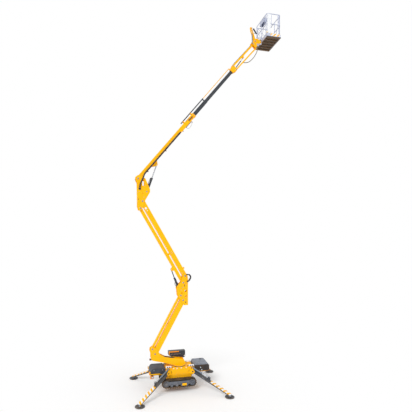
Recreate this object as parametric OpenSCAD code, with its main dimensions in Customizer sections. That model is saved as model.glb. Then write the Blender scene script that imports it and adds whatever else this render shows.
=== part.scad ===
// Tracked spider lift: an articulated aerial work platform on four outriggers.
// The machine stands on its pads at z = 0. The booms work in the plane y = 0.

/* [Stance] */
// Distance between outrigger pads along the machine
pad_span_x = 4000; // [3700:10:4300]
// Distance between outrigger pads across the machine
pad_span_y = 3050; // [2800:10:3400]
// Radius of an outrigger pad
pad_r = 210; // [170:5:240]
// Height of a pad's dished plate
pad_h = 55; // [40:1:70]
// Height of the leg hinges above the floor
leg_hinge_z = 880; // [860:5:900]
// Distance of the leg hinges from the slew axis, along the machine
leg_hinge_x = 620; // [600:5:650]
// Distance of the leg hinges from the slew axis, across the machine
leg_hinge_y = 420; // [410:5:440]
// Width of a leg's box beam
leg_w = 110; // [90:2:116]
// Depth of a leg's beam at its hinge
leg_root_d = 130; // [110:2:140]
// Depth of a leg's beam at its foot
leg_tip_d = 84; // [70:2:96]
// Width of the cover on a leg's outer half
leg_cover_w = 146; // [140:2:156]
// Wall of a leg's box beam
leg_t = 7; // [5:0.5:10]
// Radius of a leg cylinder's barrel
leg_barrel_r = 36; // [30:1:40]

/* [Undercarriage] */
// Distance between the middles of the two tracks
track_gauge = 880; // [860:5:920]
// Width of a track
track_w = 220; // [180:5:230]
// Distance between the sprocket and the idler of a track
track_base = 1240; // [1160:10:1300]
// Height of the sprocket's middle above the floor, jacked up
track_axle_z = 415; // [400:5:430]
// Outer radius of the track's belt, without its lugs
belt_r = 174; // [164:1:180]
// Thickness of the track's belt
belt_t = 24; // [18:1:30]
// Height of the track's lugs
lug_h = 20; // [12:1:26]
// Length of a lug along the belt
lug_l = 34; // [24:1:44]
// Number of lugs on a track
lug_n = 44; // [36:1:48]
// How far the tracks lie behind the slew axis
track_back = 70; // [40:5:100]
// Length of the chassis box
deck_l = 1380; // [1340:10:1400]
// Width of the chassis box
deck_w = 640; // [620:5:650]
// Height of the chassis box's top
deck_top = 1070; // [1060:5:1080]
// Height of the chassis box's side
deck_h = 380; // [350:5:400]
// Thickness of the chassis plates
deck_t = 10; // [8:1:16]
// Radius of the slewing ring
slew_r = 300; // [280:5:310]
// Height of the slewing ring's fixed half
slew_h = 40; // [35:1:50]
// Length of the engine canopy
engine_l = 730; // [700:10:760]
// Height of the engine canopy's top
engine_top = 1200; // [1180:5:1210]
// Length of the canopy at the other end
locker_l = 700; // [660:10:720]
// Height of that canopy's top
locker_top = 1105; // [1090:5:1115]
// Width of both canopies
canopy_w = 660; // [620:5:680]

// Length of the rack of valves on the turret
cabinet_l = 810; // [760:10:860]
// Width of that rack across the machine
cabinet_w = 210; // [180:10:240]
// Height of that rack
cabinet_h = 330; // [300:10:340]
// Height of the rack's top above the floor
cabinet_top = 1700; // [1680:5:1720]
// Number of valves in the rack
valve_n = 6; // [4:1:7]

/* [Risers] */
// Distance of the lower riser's foot pin from the slew axis
riser_foot_x = 1145; // [1100:5:1170]
// Height of the lower riser's foot pin
riser_foot_z = 1704; // [1690:2:1720]
// Length of the lower riser between its pins
lower_l = 2794; // [2600:10:2950]
// Angle of the lower riser as it stands
lower_a = 61.5; // [58:0.5:64]
// Distance between riser and tie pins, lower pair
lower_link = 265; // [255:1:275]
// Direction from the riser's pin to the tie's pin, lower pair
lower_link_a = 119.5; // [116:0.5:123]
// Depth of the lower riser's box
lower_d = 240; // [220:2:250]
// Depth of the lower tie's box
lower_tie_d = 100; // [80:2:110]
// Length of the upper riser between its pins
upper_l = 4030; // [3800:10:4200]
// Angle of the upper riser as it stands
upper_a = 120; // [117:0.5:123]
// Distance between riser and tie pins, upper pair
upper_link = 340; // [330:1:350]
// Direction from the riser's pin to the tie's pin, upper pair
upper_link_a = 254.5; // [252:0.5:257]
// Depth of the upper riser's box
upper_d = 210; // [190:2:220]
// Depth of the upper tie's box
upper_tie_d = 146; // [120:2:150]
// Width of both risers
riser_w = 200; // [180:2:204]
// Width of both ties
tie_w = 120; // [100:2:130]
// Wall of the risers
riser_t = 6; // [5:0.5:10]
// Height of the middle knuckle between its riser pins
mid_rise = 1163; // [1120:1:1190]
// Height of the upper knuckle between its pins
top_rise = 1053; // [1010:1:1090]
// Radius of the riser pins
pin_r = 26; // [20:1:30]
// Gap between the knuckle plates
plate_gap = 216; // [210:2:230]
// Thickness of the knuckle plates
plate_t = 11; // [9:0.5:16]

/* [Boom] */
// Angle of the boom as it stands
boom_a = 50; // [46:0.5:53]
// Distance from the boom's pivot to the jib's lower pin
boom_l = 7350; // [7000:10:7600]
// Depth of the outer boom section
outer_d = 200; // [190:2:210]
// Width of the outer boom section
outer_w = 170; // [160:2:180]
// Wall of the boom sections
boom_t = 5; // [4:0.5:7]
// Room around each inner boom section
section_gap = 6; // [4:0.5:8]
// Distance from the pivot to the outer section's end
outer_end = 4140; // [4000:10:4250]
// Distance from the pivot to the middle section's end
mid_end = 5070; // [4900:10:5200]
// Length of the middle section
mid_l = 3950; // [3500:10:4100]
// Length of the inner section
inner_l = 4000; // [3600:10:4100]
// Length of the hose conduit on the outer section
conduit_l = 2600; // [2200:10:2800]
// Radius of that conduit
conduit_r = 34; // [28:1:38]
// Number of clamps on that conduit
conduit_n = 6; // [4:1:8]
// Radius of the boom cylinder's barrel
boom_barrel_r = 48; // [40:1:52]

/* [Jib and basket] */
// Length of the jib between its pins
jib_l = 1630; // [1500:10:1750]
// Angle of the jib as it stands
jib_a = 48.5; // [45:0.5:52]
// Distance between the pins of the two jib bars
jib_link = 229; // [222:1:236]
// Direction from the lower bar's pin to the upper bar's pin
jib_link_a = 133.5; // [130:0.5:137]
// Width of the jib bars
jib_w = 70; // [60:1:76]
// Depth of the lower jib bar
jib_low_d = 66; // [56:1:72]
// Depth of the upper jib bar
jib_up_d = 80; // [70:1:88]
// Length of the basket floor along the machine
basket_x = 760; // [700:5:800]
// Width of the basket floor across the machine
basket_y = 1260; // [1200:10:1340]
// Height of the basket's top rail above its floor
basket_h = 1100; // [1000:10:1150]
// Radius of the basket's tubes
tube_r = 17; // [14:0.5:19]

/* [Hidden] */
$fn = 48;

yellow = [1, 0.76, 0.02];
black = [0.08, 0.08, 0.09];
grey = [0.45, 0.46, 0.48];
pale = [0.9, 0.91, 0.92];
steel = [0.75, 0.76, 0.78];

// Clearances: round a turning pin, beside a piece between plates, and at a sliding face
pin_clr = 0.4;
side_clr = 3;
slide_clr = 0.3;

// Points are [x, z] in the boom plane, measured from the slew axis
function polar(r, a) = [r * cos(a), r * sin(a)];
// A step along a member at angle a, and h to its left
function step(a, s, h = 0) = [s * cos(a) - h * sin(a), s * sin(a) + h * cos(a)];
function heading(p, q) = atan2(q[1] - p[1], q[0] - p[0]);
// Point p as seen along a member at angle a from its pin q
function local(p, q, a) = step(-a, p[0] - q[0], p[1] - q[1]);
function reach(p, q) = norm(q - p);

// Riser and boom pins
foot_pin = [-riser_foot_x, riser_foot_z];
foot_tie = foot_pin + polar(lower_link, lower_link_a);
lower_top = foot_pin + polar(lower_l, lower_a);
lower_tie_top = lower_top + polar(lower_link, lower_link_a);
upper_foot = lower_top + [93, mid_rise];
upper_tie_foot = upper_foot + polar(upper_link, upper_link_a);
upper_top = upper_foot + polar(upper_l, upper_a);
upper_tie_top = upper_top + polar(upper_link, upper_link_a);
boom_pin = upper_top + [-208, top_rise];
// The boom's middle line lies a little under its pivot
boom_sag = -25;
jib_pin = boom_pin + step(boom_a, boom_l, -128);
jib_up_pin = jib_pin + polar(jib_link, jib_link_a);
jib_end = jib_pin + polar(jib_l, jib_a);
jib_up_end = jib_end + polar(jib_link, jib_link_a);
level_pin = jib_end + [-65, 304];
turn_x = level_pin[0] + 290;
basket_rear = turn_x + 54;
floor_z = level_pin[1] + 14;

// Cylinder lugs: along their member from its pin, and out from its middle line
upper_lug_s = 800;
upper_lug_h = 166;
boom_lug_s = 1080;
boom_lug_h = -242;
jib_lug_s = 748;
jib_lug_h = -87;
leg_lug_s = 790;
leg_lug_h = 150;

// Cylinder pins: foot and eye of each
lower_cyl_foot = foot_pin + [952, -362];
lower_cyl_eye = foot_pin + polar(171, lower_a + 215);
upper_cyl_foot = upper_tie_foot + [-241, -216];
upper_cyl_eye = upper_tie_foot + step(upper_a, upper_lug_s, upper_lug_h);
boom_cyl_foot = boom_pin + [440, -570];
boom_cyl_eye = boom_pin + step(boom_a, boom_lug_s, boom_lug_h);
jib_cyl_foot = jib_up_pin + polar(163, -35.9);
jib_cyl_eye = jib_up_pin + step(jib_a, jib_lug_s, jib_lug_h);
level_foot = level_pin + polar(205, 213);
level_eye = level_pin + polar(640, 107);
level_y = -100;

// Where the slew axis lies so that the origin is under the middle of the machine
x_low = -pad_span_x / 2 - pad_r;
x_high = basket_rear + basket_x;
slew_x = -(x_low + x_high) / 2;

// Leg plane: u runs outward from the hinge, z up
leg_dx = pad_span_x / 2 - leg_hinge_x;
leg_dy = pad_span_y / 2 - leg_hinge_y;
leg_u = norm([leg_dx, leg_dy]);
leg_azimuth = atan2(leg_dy, leg_dx);
leg_hinge = [0, leg_hinge_z];
ankle = [leg_u, pad_h + 62];
leg_a = heading(leg_hinge, ankle);
leg_len = reach(leg_hinge, ankle);
leg_cyl_foot = leg_hinge + [-70, 160];
leg_cyl_eye = leg_hinge + step(leg_a, leg_lug_s, leg_lug_h);
// Side of each leg: along and across
LEGS = [[-1, -1], [1, -1], [-1, 1], [1, 1]];

// Half widths between the plates
half_gap = plate_gap / 2;
boss_half = half_gap - side_clr;

module place() translate([slew_x, 0, 0]) children();
module member(p, a, y = 0) translate([p[0], y, p[1]]) rotate([0, -a, 0]) children();
// A round bar across the boom plane
module bar(p, r, w, y = 0) translate([p[0], y, p[1]]) rotate([90, 0, 0])
  cylinder(r = r, h = w, center = true);
// A flat plate with an outline in the boom plane, from y0 to y1
module slab(points, y0, y1) translate([0, y1, 0]) rotate([90, 0, 0]) linear_extrude(y1 - y0)
  polygon(points);
// Two like plates, one on each side
module twin(points, y_in, t) {
  slab(points, y_in, y_in + t);
  slab(points, -y_in - t, -y_in);
}
module block(low, high) translate(low) cube(high - low);

// A box beam along X, open at both ends
module box_beam(s0, s1, w, d, t) {
  difference() {
    block([s0, -w / 2, -d / 2], [s1, w / 2, d / 2]);
    block([s0 - 1, -w / 2 + t, -d / 2 + t], [s1 + 1, w / 2 - t, d / 2 - t]);
  }
}
module boss(s, r, w, h = 0) translate([s, 0, h]) rotate([90, 0, 0]) cylinder(r = r, h = w, center = true);

// A riser or a tie: a box beam with a bossed pin hole at each end
module link_bar(l, w, d, t, hole, boss_r, boss_w, over) {
  difference() {
    union() {
      box_beam(-over, l + over, w, d, t);
      for (s = [0, l]) boss(s, boss_r, boss_w);
      for (s = [-over, l + over - t]) block([s, -w / 2, -d / 2], [s + t, w / 2, d / 2]);
    }
    for (s = [0, l]) boss(s, hole, boss_w + 2);
    children();
  }
}

// Barrel of a cylinder lying along X from its foot pin
module barrel(r, l, rod_r, pin, foot_w) {
  gland = 40;
  difference() {
    union() {
      rotate([0, 90, 0]) translate([0, 0, pin]) cylinder(r = r, h = l - pin);
      rotate([0, 90, 0]) translate([0, 0, l - gland]) cylinder(r = r + 6, h = gland);
      boss(0, pin + 14, foot_w);
    }
    boss(0, pin + pin_clr, foot_w + 2);
    rotate([0, 90, 0]) translate([0, 0, pin + 24]) cylinder(r = r - 7, h = l - pin - 24 - gland);
    rotate([0, 90, 0]) translate([0, 0, l - gland - 1]) cylinder(r = rod_r + pin_clr, h = gland + 2);
  }
}
// Rod of a cylinder, ending in an eye at distance reach_l
module rod(reach_l, l, rod_r, eye_r, eye_w) {
  difference() {
    union() {
      rotate([0, 90, 0]) translate([0, 0, reach_l - l]) cylinder(r = rod_r, h = l - eye_r * 0.6);
      boss(reach_l, eye_r, eye_w);
    }
    boss(reach_l, eye_r * 0.55, eye_w + 2);
  }
}

// Undercarriage: width of a track's frame, spacing of its rollers, and the lashing eyes' hole and plate
frame_w = 130;
roller_pitch = 240;
axle_stub_r = 55;
eye_r = 20;
eye_t = 16;
function deck_outline(x, z0, z1, c) =
  [[-x, z0 + c], [-x + c, z0], [x - c, z0], [x, z0 + c], [x, z1 - c], [x - c, z1], [-x + c, z1],
    [-x, z1 - c]];

module deck_solid() slab(deck_outline(deck_l / 2, deck_top - deck_h, deck_top, 70),
  -deck_w / 2, deck_w / 2);

module chassis() color(yellow) place() {
  keel_w = track_gauge - track_w - 60;
  keel_z = track_axle_z - 75;
  keel_x = deck_l / 2 - 130;
  eye_x = keel_x + 44;
  eye_y = keel_w / 2 - 30;
  difference() {
    union() {
      deck_solid();
      block([-keel_x, -keel_w / 2, keel_z], [keel_x, keel_w / 2, deck_top - deck_h]);
      // Axle stubs that carry the track frames
      for (s = [-1, 1]) bar([s * roller_pitch - track_back, track_axle_z],
        axle_stub_r, track_gauge - frame_w);
      // Rails under the canopies
      for (y = [-1, 1]) for (s = [-1, 1]) {
        l = (s > 0 ? engine_l : locker_l) - 40;
        translate([s * (deck_l / 2 - 6 + l / 2), y * 220, deck_top - deck_h + 105])
          cube([l, 60, 70], center = true);
      }
      // Lashing eyes, flat plates low on the ends
      for (s = [-1, 1]) for (y = [-1, 1])
        translate([s * (eye_x - 6), y * eye_y, keel_z + 90]) cube([80, 76, eye_t], center = true);
    }
    // The box is open underneath
    block([-keel_x + deck_t, -keel_w / 2 + deck_t, keel_z - 1],
      [keel_x - deck_t, keel_w / 2 - deck_t, deck_top - deck_t]);
    for (s = [-1, 1]) for (y = [-1, 1])
      translate([s * eye_x, y * eye_y, keel_z + 90]) cylinder(r = eye_r, h = eye_t + 2, center = true);
  }
}

// Children drawn in a leg's plane are set at leg i's corner
module at_leg(i) {
  translate([LEGS[i][0] * leg_hinge_x, LEGS[i][1] * leg_hinge_y, 0])
    rotate([0, 0, atan2(LEGS[i][1] * leg_dy, LEGS[i][0] * leg_dx)]) children();
}

module leg_brackets() {
  inner = leg_w / 2 + side_clr;
  z = leg_hinge_z;
  cheek = [[-330, z - 150], [20, z - 95], [85, z - 40], [85, z + 30], [20, z + 90], [-40, z + 190],
    [-110, z + 205], [-180, z + 190], [-330, z + 140]];
  color(pale) place() difference() {
    for (i = [0:3]) at_leg(i) {
      twin(cheek, inner, 16);
      bar(leg_hinge, 24, 2 * inner + 20);
      bar(leg_cyl_foot, 18, 2 * inner + 20);
    }
    // They end at the chassis box and clear the canopies
    deck_block();
    for (s = [-1, 1]) translate([s * deck_l, 0, deck_top])
      cube([deck_l, canopy_w + 2 * side_clr, 2 * deck_h], center = true);
  }
}
module deck_block() slab(deck_outline(deck_l / 2, deck_top - deck_h, deck_top + 300, 0),
  -deck_w / 2, deck_w / 2);

// A point on the belt's outer face, s from 0 to 1 round the loop, as [x, z, angle]
function belt_point(s) =
  let (arc = PI * belt_r, run = track_base, all = 2 * (arc + run), d = s * all)
  d < run ? [-run / 2 + d, belt_r, 0]
  : d < run + arc ? let (t = (d - run) / arc * 180) [run / 2 + belt_r * sin(t), belt_r * cos(t), -t]
  : d < 2 * run + arc ? [run / 2 - (d - run - arc), -belt_r, 180]
  : let (t = (d - 2 * run - arc) / arc * 180) [-run / 2 - belt_r * sin(t), -belt_r * cos(t), 180 - t];

module stadium(r) {
  for (s = [-1, 1]) translate([s * track_base / 2, 0]) circle(r = r);
  square([track_base, 2 * r], center = true);
}
module track_loop() {
  translate([-track_back, 0, track_axle_z]) rotate([90, 0, 0]) linear_extrude(track_w, center = true)
    difference() {
      union() {
        stadium(belt_r);
        for (i = [0:lug_n - 1]) let (p = belt_point(i / lug_n))
          translate([p[0], p[1]]) rotate(p[2]) translate([-lug_l / 2, -4]) square([lug_l, lug_h + 4]);
      }
      stadium(belt_r - belt_t);
    }
}
module track_near() color(black) place() translate([0, -track_gauge / 2, 0]) track_loop();
module track_far() color(black) place() translate([0, track_gauge / 2, 0]) track_loop();

module track_frames() {
  wheel_r = belt_r - belt_t - slide_clr;
  color(grey) place() for (side = [-1, 1]) translate([-track_back, side * track_gauge / 2, track_axle_z]) {
    difference() {
      union() {
        block([-track_base / 2, -frame_w / 2, -80], [track_base / 2, frame_w / 2, 85]);
        for (s = [-1, 1]) translate([s * track_base / 2, 0, 0]) rotate([90, 0, 0]) {
          cylinder(r = wheel_r, h = track_w - 70, center = true);
          cylinder(r = 70, h = track_w - 10, center = true);
        }
        for (k = [-1.5:1:1.5]) translate([k * roller_pitch, 0, -wheel_r + 62]) rotate([90, 0, 0])
          cylinder(r = 62, h = track_w - 50, center = true);
      }
      // Recessed sprocket and idler faces
      for (s = [-1, 1]) for (y = [-1, 1]) translate([s * track_base / 2, y * (track_w / 2 - 35), 0])
        rotate([90, 0, 0]) difference() {
          cylinder(r = wheel_r - 24, h = 40, center = true);
          cylinder(r = 70, h = 42, center = true);
        }
    }
  }
}

module canopy(l, top, low, lean) {
  outline = [[0, low], [l, low], [l, top - 130], [l - lean, top - 30], [l - lean - 60, top],
    [60, top], [0, top - 50]];
  difference() {
    slab(outline, -canopy_w / 2, canopy_w / 2);
    block([deck_t, -canopy_w / 2 + deck_t, low - 1], [l - lean - 40, canopy_w / 2 - deck_t, top - 70]);
  }
}
rail_top = deck_top - deck_h + 140;
module engine_canopy() color(grey) place() translate([deck_l / 2 + 1, 0, 0])
  canopy(engine_l, engine_top, rail_top, 90);
module rear_locker() color(black) place() mirror([1, 0, 0]) translate([deck_l / 2 + 1, 0, 0])
  canopy(locker_l, locker_top, rail_top, 60);
module engine_block() color(grey) place()
  block([deck_l / 2 + 80, -250, rail_top], [deck_l / 2 + engine_l - 170, 250, engine_top - 110]);

module slew_ring() color(black) place() translate([0, 0, deck_top])
  cylinder(r = slew_r, h = slew_h, $fn = 96);

// Turret
turret_low = deck_top + slew_h + slide_clr;
module turret() {
  z0 = turret_low + 22;
  p = foot_pin;
  web_t = 12;
  // Underside of the arm, from its head to the ring
  under = [p + [45, -343], p + [385, -429], [-slew_r - 120, z0 + 40], [-slew_r, z0]];
  cheek = concat([p + [-200, -204], p + [-117, -304]], [for (i = [1:3]) under[i]],
    [[slew_r - 15, z0], [slew_r + 20, z0 + 58], [slew_r - 85, z0 + 253], [-slew_r, z0 + 318],
    p + [485, -184], p + [240, -54], p + [135, 146], p + [-15, 306], p + [-130, 336], p + [-230, 256],
    p + [-247, 146], p + [-200, -4]]);
  web = concat(under, [[slew_r - 15, z0], [slew_r + 20, z0 + 58], [slew_r - 85, z0 + 253],
    [slew_r - 85 - web_t, z0 + 253], [slew_r + 20 - web_t, z0 + 58], [slew_r - 20, z0 + web_t]],
    [for (i = [3:-1:0]) under[i] + [0, web_t]]);
  color(yellow) place() {
    translate([0, 0, turret_low]) cylinder(r = slew_r + 12, h = 22, $fn = 96);
    twin(cheek, half_gap, plate_t);
    slab(web, -half_gap, half_gap);
    for (p = [foot_pin, foot_tie]) bar(p, pin_r, plate_gap + 2 * plate_t + 24);
    bar(lower_cyl_foot, 22, plate_gap + 2 * plate_t);
  }
}
// Rack of the valves and ground controls, on the far side of the turret
module valve_cabinet() {
  wall = 6;
  valve = [44, 90, 100];
  valve_pitch = 60;
  foot_l = 90;
  x0 = -cabinet_l / 2 - 60;
  x1 = cabinet_l / 2 - 60;
  y0 = half_gap + plate_t;
  y1 = y0 + cabinet_w;
  z1 = cabinet_top;
  z0 = cabinet_top - cabinet_h;
  // The underside rises towards the turret's tail
  outline = [[x0, z1 - 180], [x0 + 245, z0 + 30], [x1 - 60, z0], [x1, z0 + 60], [x1, z1], [x0, z1]];
  inside = [[x0 + wall, z1 - 166], [x0 + 257, z0 + 46], [x1 - 64, z0 + 16], [x1 - wall, z0 + 66],
    [x1 - wall, z1 - wall], [x0 + wall, z1 - wall]];
  color(black) place() {
    difference() {
      slab(outline, y0, y1);
      // Open on the side that faces out, behind a rim
      slab(inside, y0 + wall, y1 + 1);
    }
    // Bank of valves on the back wall
    for (i = [0:valve_n - 1]) translate([x0 + 290 + i * valve_pitch, y0 + wall - 1, z1 - 150]) cube(valve);
    // Foot that stands on the turret's plates
    block([x1 - 330, y0, turret_low + 230], [x1 - 330 + foot_l, y0 + 40, z0 + 40]);
  }
}

// Lower parallelogram
module lower_riser() color(yellow) place() member(foot_pin, lower_a) {
  eye = local(lower_cyl_eye, foot_pin, lower_a);
  difference() {
    union() {
      link_bar(lower_l, riser_w, lower_d, riser_t, pin_r + pin_clr, 58, 2 * boss_half, 90);
      // Tail lugs that the lower cylinder draws
      twin([[-60, 60], [-60, -112], [eye[0] + 24, eye[1] - 34], [eye[0] - 24, eye[1] - 34],
        [eye[0] - 38, eye[1]], [eye[0] - 24, eye[1] + 34], [-100, 60]], 38, 16);
    }
    boss(0, pin_r + pin_clr, 300);
    boss(eye[0], 20, 200, eye[1]);
    // Slot under the root, where the rod passes at the fold
    block([-91, -30, -lower_d / 2 - 1], [70, 30, -lower_d / 2 + 52]);
  }
}
module lower_tie() color(yellow) place() member(foot_tie, lower_a)
  link_bar(lower_l, tie_w, lower_tie_d, riser_t, pin_r + pin_clr, 45, 2 * boss_half, 46);

lower_reach = reach(lower_cyl_foot, lower_cyl_eye);
lower_head = heading(lower_cyl_foot, lower_cyl_eye);
module lower_barrel() color(black) place() member(lower_cyl_foot, lower_head) barrel(40, 720, 22, 22, 80);
module lower_rod() color(steel) place() member(lower_cyl_foot, lower_head)
  rod(lower_reach, 560, 22, 31, 70);

// Middle knuckle
module mid_knuckle() {
  r = upper_foot;
  q = lower_top;
  cheek = [[q[0] + 42, q[1] - 235], [q[0] + 241, q[1] - 235], [r[0] + 148, r[1] - 120],
    [r[0] + 110, r[1] + 80],
    [r[0], r[1] + 118], [r[0] - 90, r[1] + 80], [r[0] - 205, r[1] - 310], [r[0] - 380, r[1] - 470],
    [r[0] - 405, r[1] - 580], [r[0] - 375, r[1] - 720], [r[0] - 360, r[1] - 920],
      [r[0] - 305, r[1] - 1030]];
  web_x = q[0] + 226;
  color(yellow) place() {
    difference() {
      twin(cheek, half_gap, plate_t);
      bar([q[0] + 127, q[1] + 445], 50, 400);
      bar([q[0] + 137, q[1] + 201], 40, 400);
      bar([q[0] - 54, q[1] + 343], 30, 400);
      bar([q[0] + 127, q[1] - 95], 32, 400);
    }
    for (p = [lower_top, lower_tie_top, upper_foot, upper_tie_foot])
      bar(p, pin_r, plate_gap + 2 * plate_t + 24);
    bar(upper_cyl_foot, 22, plate_gap + 2 * plate_t + 20);
    block([web_x - 15, -half_gap, q[1] + 300], [web_x, half_gap, r[1] - 240]);
  }
}

// Upper parallelogram
module upper_riser() color(yellow) place() member(upper_foot, upper_a) {
  link_bar(upper_l, riser_w, upper_d, riser_t, pin_r + pin_clr, 58, 2 * boss_half, 85);
  // Stub rest on the outer edge, and a guide beside the tie
  block([300, -35, -upper_d / 2 - 72], [372, 35, -upper_d / 2]);
  block([1230, -riser_w / 2 - 8, -40], [1330, -riser_w / 2, upper_d / 2 + 70]);
}
module upper_tie() color(yellow) place() member(upper_tie_foot, upper_a) {
  link_bar(upper_l, tie_w, upper_tie_d, riser_t, pin_r + pin_clr, 45, 2 * boss_half, 50);
  s = upper_lug_s;
  root = upper_tie_d / 2 - 1;
  lug = [[s - 100, root], [s + 100, root], [s + 40, upper_lug_h + 28], [s - 40, upper_lug_h + 28]];
  lug_t = 12;
  difference() {
    twin(lug, tie_w / 2 - lug_t, lug_t);
    boss(s, 18, 200, upper_lug_h);
  }
}
upper_reach = reach(upper_cyl_foot, upper_cyl_eye);
upper_head = heading(upper_cyl_foot, upper_cyl_eye);
module upper_barrel() color(black) place() member(upper_cyl_foot, upper_head) barrel(40, 470, 22, 22, 90);
module upper_rod() color(steel) place() member(upper_cyl_foot, upper_head)
  rod(upper_reach, 462, 22, 32, tie_w - 32);

// Upper knuckle
module top_knuckle() {
  r = upper_top;
  b = boom_pin;
  cheek = [[r[0] - 187, r[1] - 415], [r[0] - 60, r[1] - 430], [r[0] + 30, r[1] - 270],
    [r[0] + 115, r[1] + 20],
    [b[0] + 560, b[1] - 620], [b[0] + 555, b[1] - 480], [b[0] + 346, b[1] - 3], [b[0] + 160, b[1] + 125],
    [b[0], b[1] + 150], [b[0] - 118, b[1] + 60], [b[0] - 100, b[1] - 100], [b[0] - 45, b[1] - 197],
    [r[0] - 238, r[1] - 240]];
  color(yellow) place() {
    difference() {
      twin(cheek, half_gap, plate_t);
      slab([[b[0] + 200, b[1] - 330], [b[0] + 290, b[1] - 330], [b[0] + 290, b[1] - 90],
        [b[0] + 200, b[1] - 90]],
        -300, 300);
      bar([b[0] + 250, b[1] - 20], 26, 400);
    }
    for (p = [upper_top, upper_tie_top, boom_pin]) bar(p, pin_r, plate_gap + 2 * plate_t + 24);
    for (y = [-1, 1]) bar(boom_cyl_foot, 24, half_gap + plate_t + 10 - boom_barrel_r - 6,
      y * (half_gap + plate_t + 10 + boom_barrel_r + 6) / 2);
    block([r[0] - 238, -half_gap, r[1] - 60], [r[0] - 223, half_gap, r[1] + 700]);
  }
}

// Boom, drawn along X from its pivot, with its middle line at boom_sag
mid_w = outer_w - 2 * (boom_t + section_gap);
mid_d = outer_d - 2 * (boom_t + section_gap);
inner_w = mid_w - 2 * (boom_t + section_gap);
inner_d = mid_d - 2 * (boom_t + section_gap);
hose_h = 165;
guide_r = 26;
guide_bore = 20;
guide_l = 1690;

conduit_s = 420;
module sleeve(s0, s1, w, d, inner_w, inner_d) {
  // A collar that guides the next section
  difference() {
    block([s0, -w / 2, -d / 2], [s1, w / 2, d / 2]);
    block([s0 - 1, -inner_w / 2 - slide_clr, -inner_d / 2 - slide_clr],
      [s1 + 1, inner_w / 2 + slide_clr, inner_d / 2 + slide_clr]);
  }
}
module boom_frame() place() member(boom_pin, boom_a) children();

module boom_outer() color(yellow) boom_frame() {
  eye = [boom_lug_s, boom_lug_h];
  lug = [[eye[0] - 220, boom_sag - outer_d / 2], [eye[0] + 160, boom_sag - outer_d / 2],
    [eye[0] + 46, eye[1] - 20],
    [eye[0] + 18, eye[1] - 40], [eye[0] - 18, eye[1] - 40], [eye[0] - 46, eye[1] - 20]];
  difference() {
    union() {
      translate([0, 0, boom_sag]) {
        box_beam(-120, outer_end, outer_w, outer_d, boom_t);
        sleeve(outer_end - 120, outer_end, outer_w, outer_d, mid_w, mid_d);
        sleeve(outer_end - 60, outer_end + 14, outer_w + 24, outer_d + 24, outer_w - 8, outer_d - 8);
      }
      boss(0, 60, 2 * boss_half);
      slab(lug, 42, 56);
      slab(lug, -56, -42);
      // Open saddles beside the hose guide
      for (s = [outer_end - 640, outer_end - 80]) {
        block([s, -guide_r - 10, boom_sag + outer_d / 2 - 2],
          [s + 50, guide_r + 10, boom_sag + outer_d / 2 + 8]);
        for (y = [-1, 1]) translate([s + 25, y * (guide_r + 6), (boom_sag + outer_d / 2 + hose_h) / 2])
          cube([50, 8, hose_h - boom_sag - outer_d / 2], center = true);
      }
    }
    boss(0, pin_r + pin_clr, 400);
    boss(eye[0], 20, 300, eye[1]);
  }
}
// Bundle of hoses in a conduit under the outer section's near edge
module boom_conduit() color(black) boom_frame() {
  y = -outer_w / 2 - conduit_r - 6;
  h = boom_sag - outer_d / 2 + conduit_r;
  translate([conduit_s, y, h]) rotate([0, 90, 0]) cylinder(r = conduit_r, h = conduit_l);
  // Clamps that hold it to the boom
  for (i = [0:conduit_n - 1]) translate([conduit_s + 100 + i * (conduit_l - 230) / (conduit_n - 1), 0, 0])
    difference() {
      block([0, y - conduit_r - 5, h - conduit_r - 5], [30, -outer_w / 2, h + conduit_r + 5]);
      translate([-1, y, h]) rotate([0, 90, 0]) cylinder(r = conduit_r - 1, h = 32);
    }
}
module boom_mid() color(black) boom_frame() translate([0, 0, boom_sag]) {
  box_beam(mid_end - mid_l, mid_end, mid_w, mid_d, boom_t);
  sleeve(mid_end - 120, mid_end, mid_w, mid_d, inner_w, inner_d);
  sleeve(mid_end - mid_l, mid_end - mid_l + 90, outer_w - 2 * boom_t - 2 * slide_clr,
    outer_d - 2 * boom_t - 2 * slide_clr, mid_w - 10, mid_d - 10);
  // Guide tube of the hoses, on a bracket at the section's end
  difference() {
    union() {
      translate([mid_end + 10 - guide_l, 0, hose_h - boom_sag]) rotate([0, 90, 0])
        cylinder(r = guide_r, h = guide_l);
      block([mid_end - 60, -12, mid_d / 2 - 2], [mid_end - 10, 12, hose_h - boom_sag]);
    }
    translate([mid_end + 9 - guide_l, 0, hose_h - boom_sag]) rotate([0, 90, 0])
      cylinder(r = guide_bore, h = guide_l + 2);
  }
}
inner_end = boom_l - 140;
// The hose rod reaches back to the outer section's end
hose_rod_l = inner_end - outer_end - 10;
module boom_inner() color(black) boom_frame() translate([0, 0, boom_sag]) {
  box_beam(inner_end - inner_l, inner_end, inner_w, inner_d, boom_t);
  sleeve(inner_end - inner_l, inner_end - inner_l + 90, mid_w - 2 * boom_t - 2 * slide_clr,
    mid_d - 2 * boom_t - 2 * slide_clr, inner_w - 10, inner_d - 10);
}
boom_reach = reach(boom_cyl_foot, boom_cyl_eye);
boom_head_a = heading(boom_cyl_foot, boom_cyl_eye);
module boom_barrel() color(black) place() member(boom_cyl_foot, boom_head_a) {
  r = boom_barrel_r;
  l = 660;
  tail = 190;
  difference() {
    union() {
      rotate([0, 90, 0]) translate([0, 0, -tail]) cylinder(r = r, h = l + tail);
      rotate([0, 90, 0]) translate([0, 0, l - 45]) cylinder(r = r + 6, h = 45);
      // Trunnion sleeves
      boss(0, 42, 2 * boss_half);
    }
    for (y = [-1, 1]) translate([0, y * (boss_half + r + 4) / 2, 0]) rotate([90, 0, 0])
      cylinder(r = 24 + pin_clr, h = boss_half - r - 4 + 4, center = true);
    rotate([0, 90, 0]) translate([0, 0, -tail + 20]) cylinder(r = r - 9, h = l + tail - 65);
    rotate([0, 90, 0]) translate([0, 0, l - 46]) cylinder(r = 24 + pin_clr, h = 48);
  }
}
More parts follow.
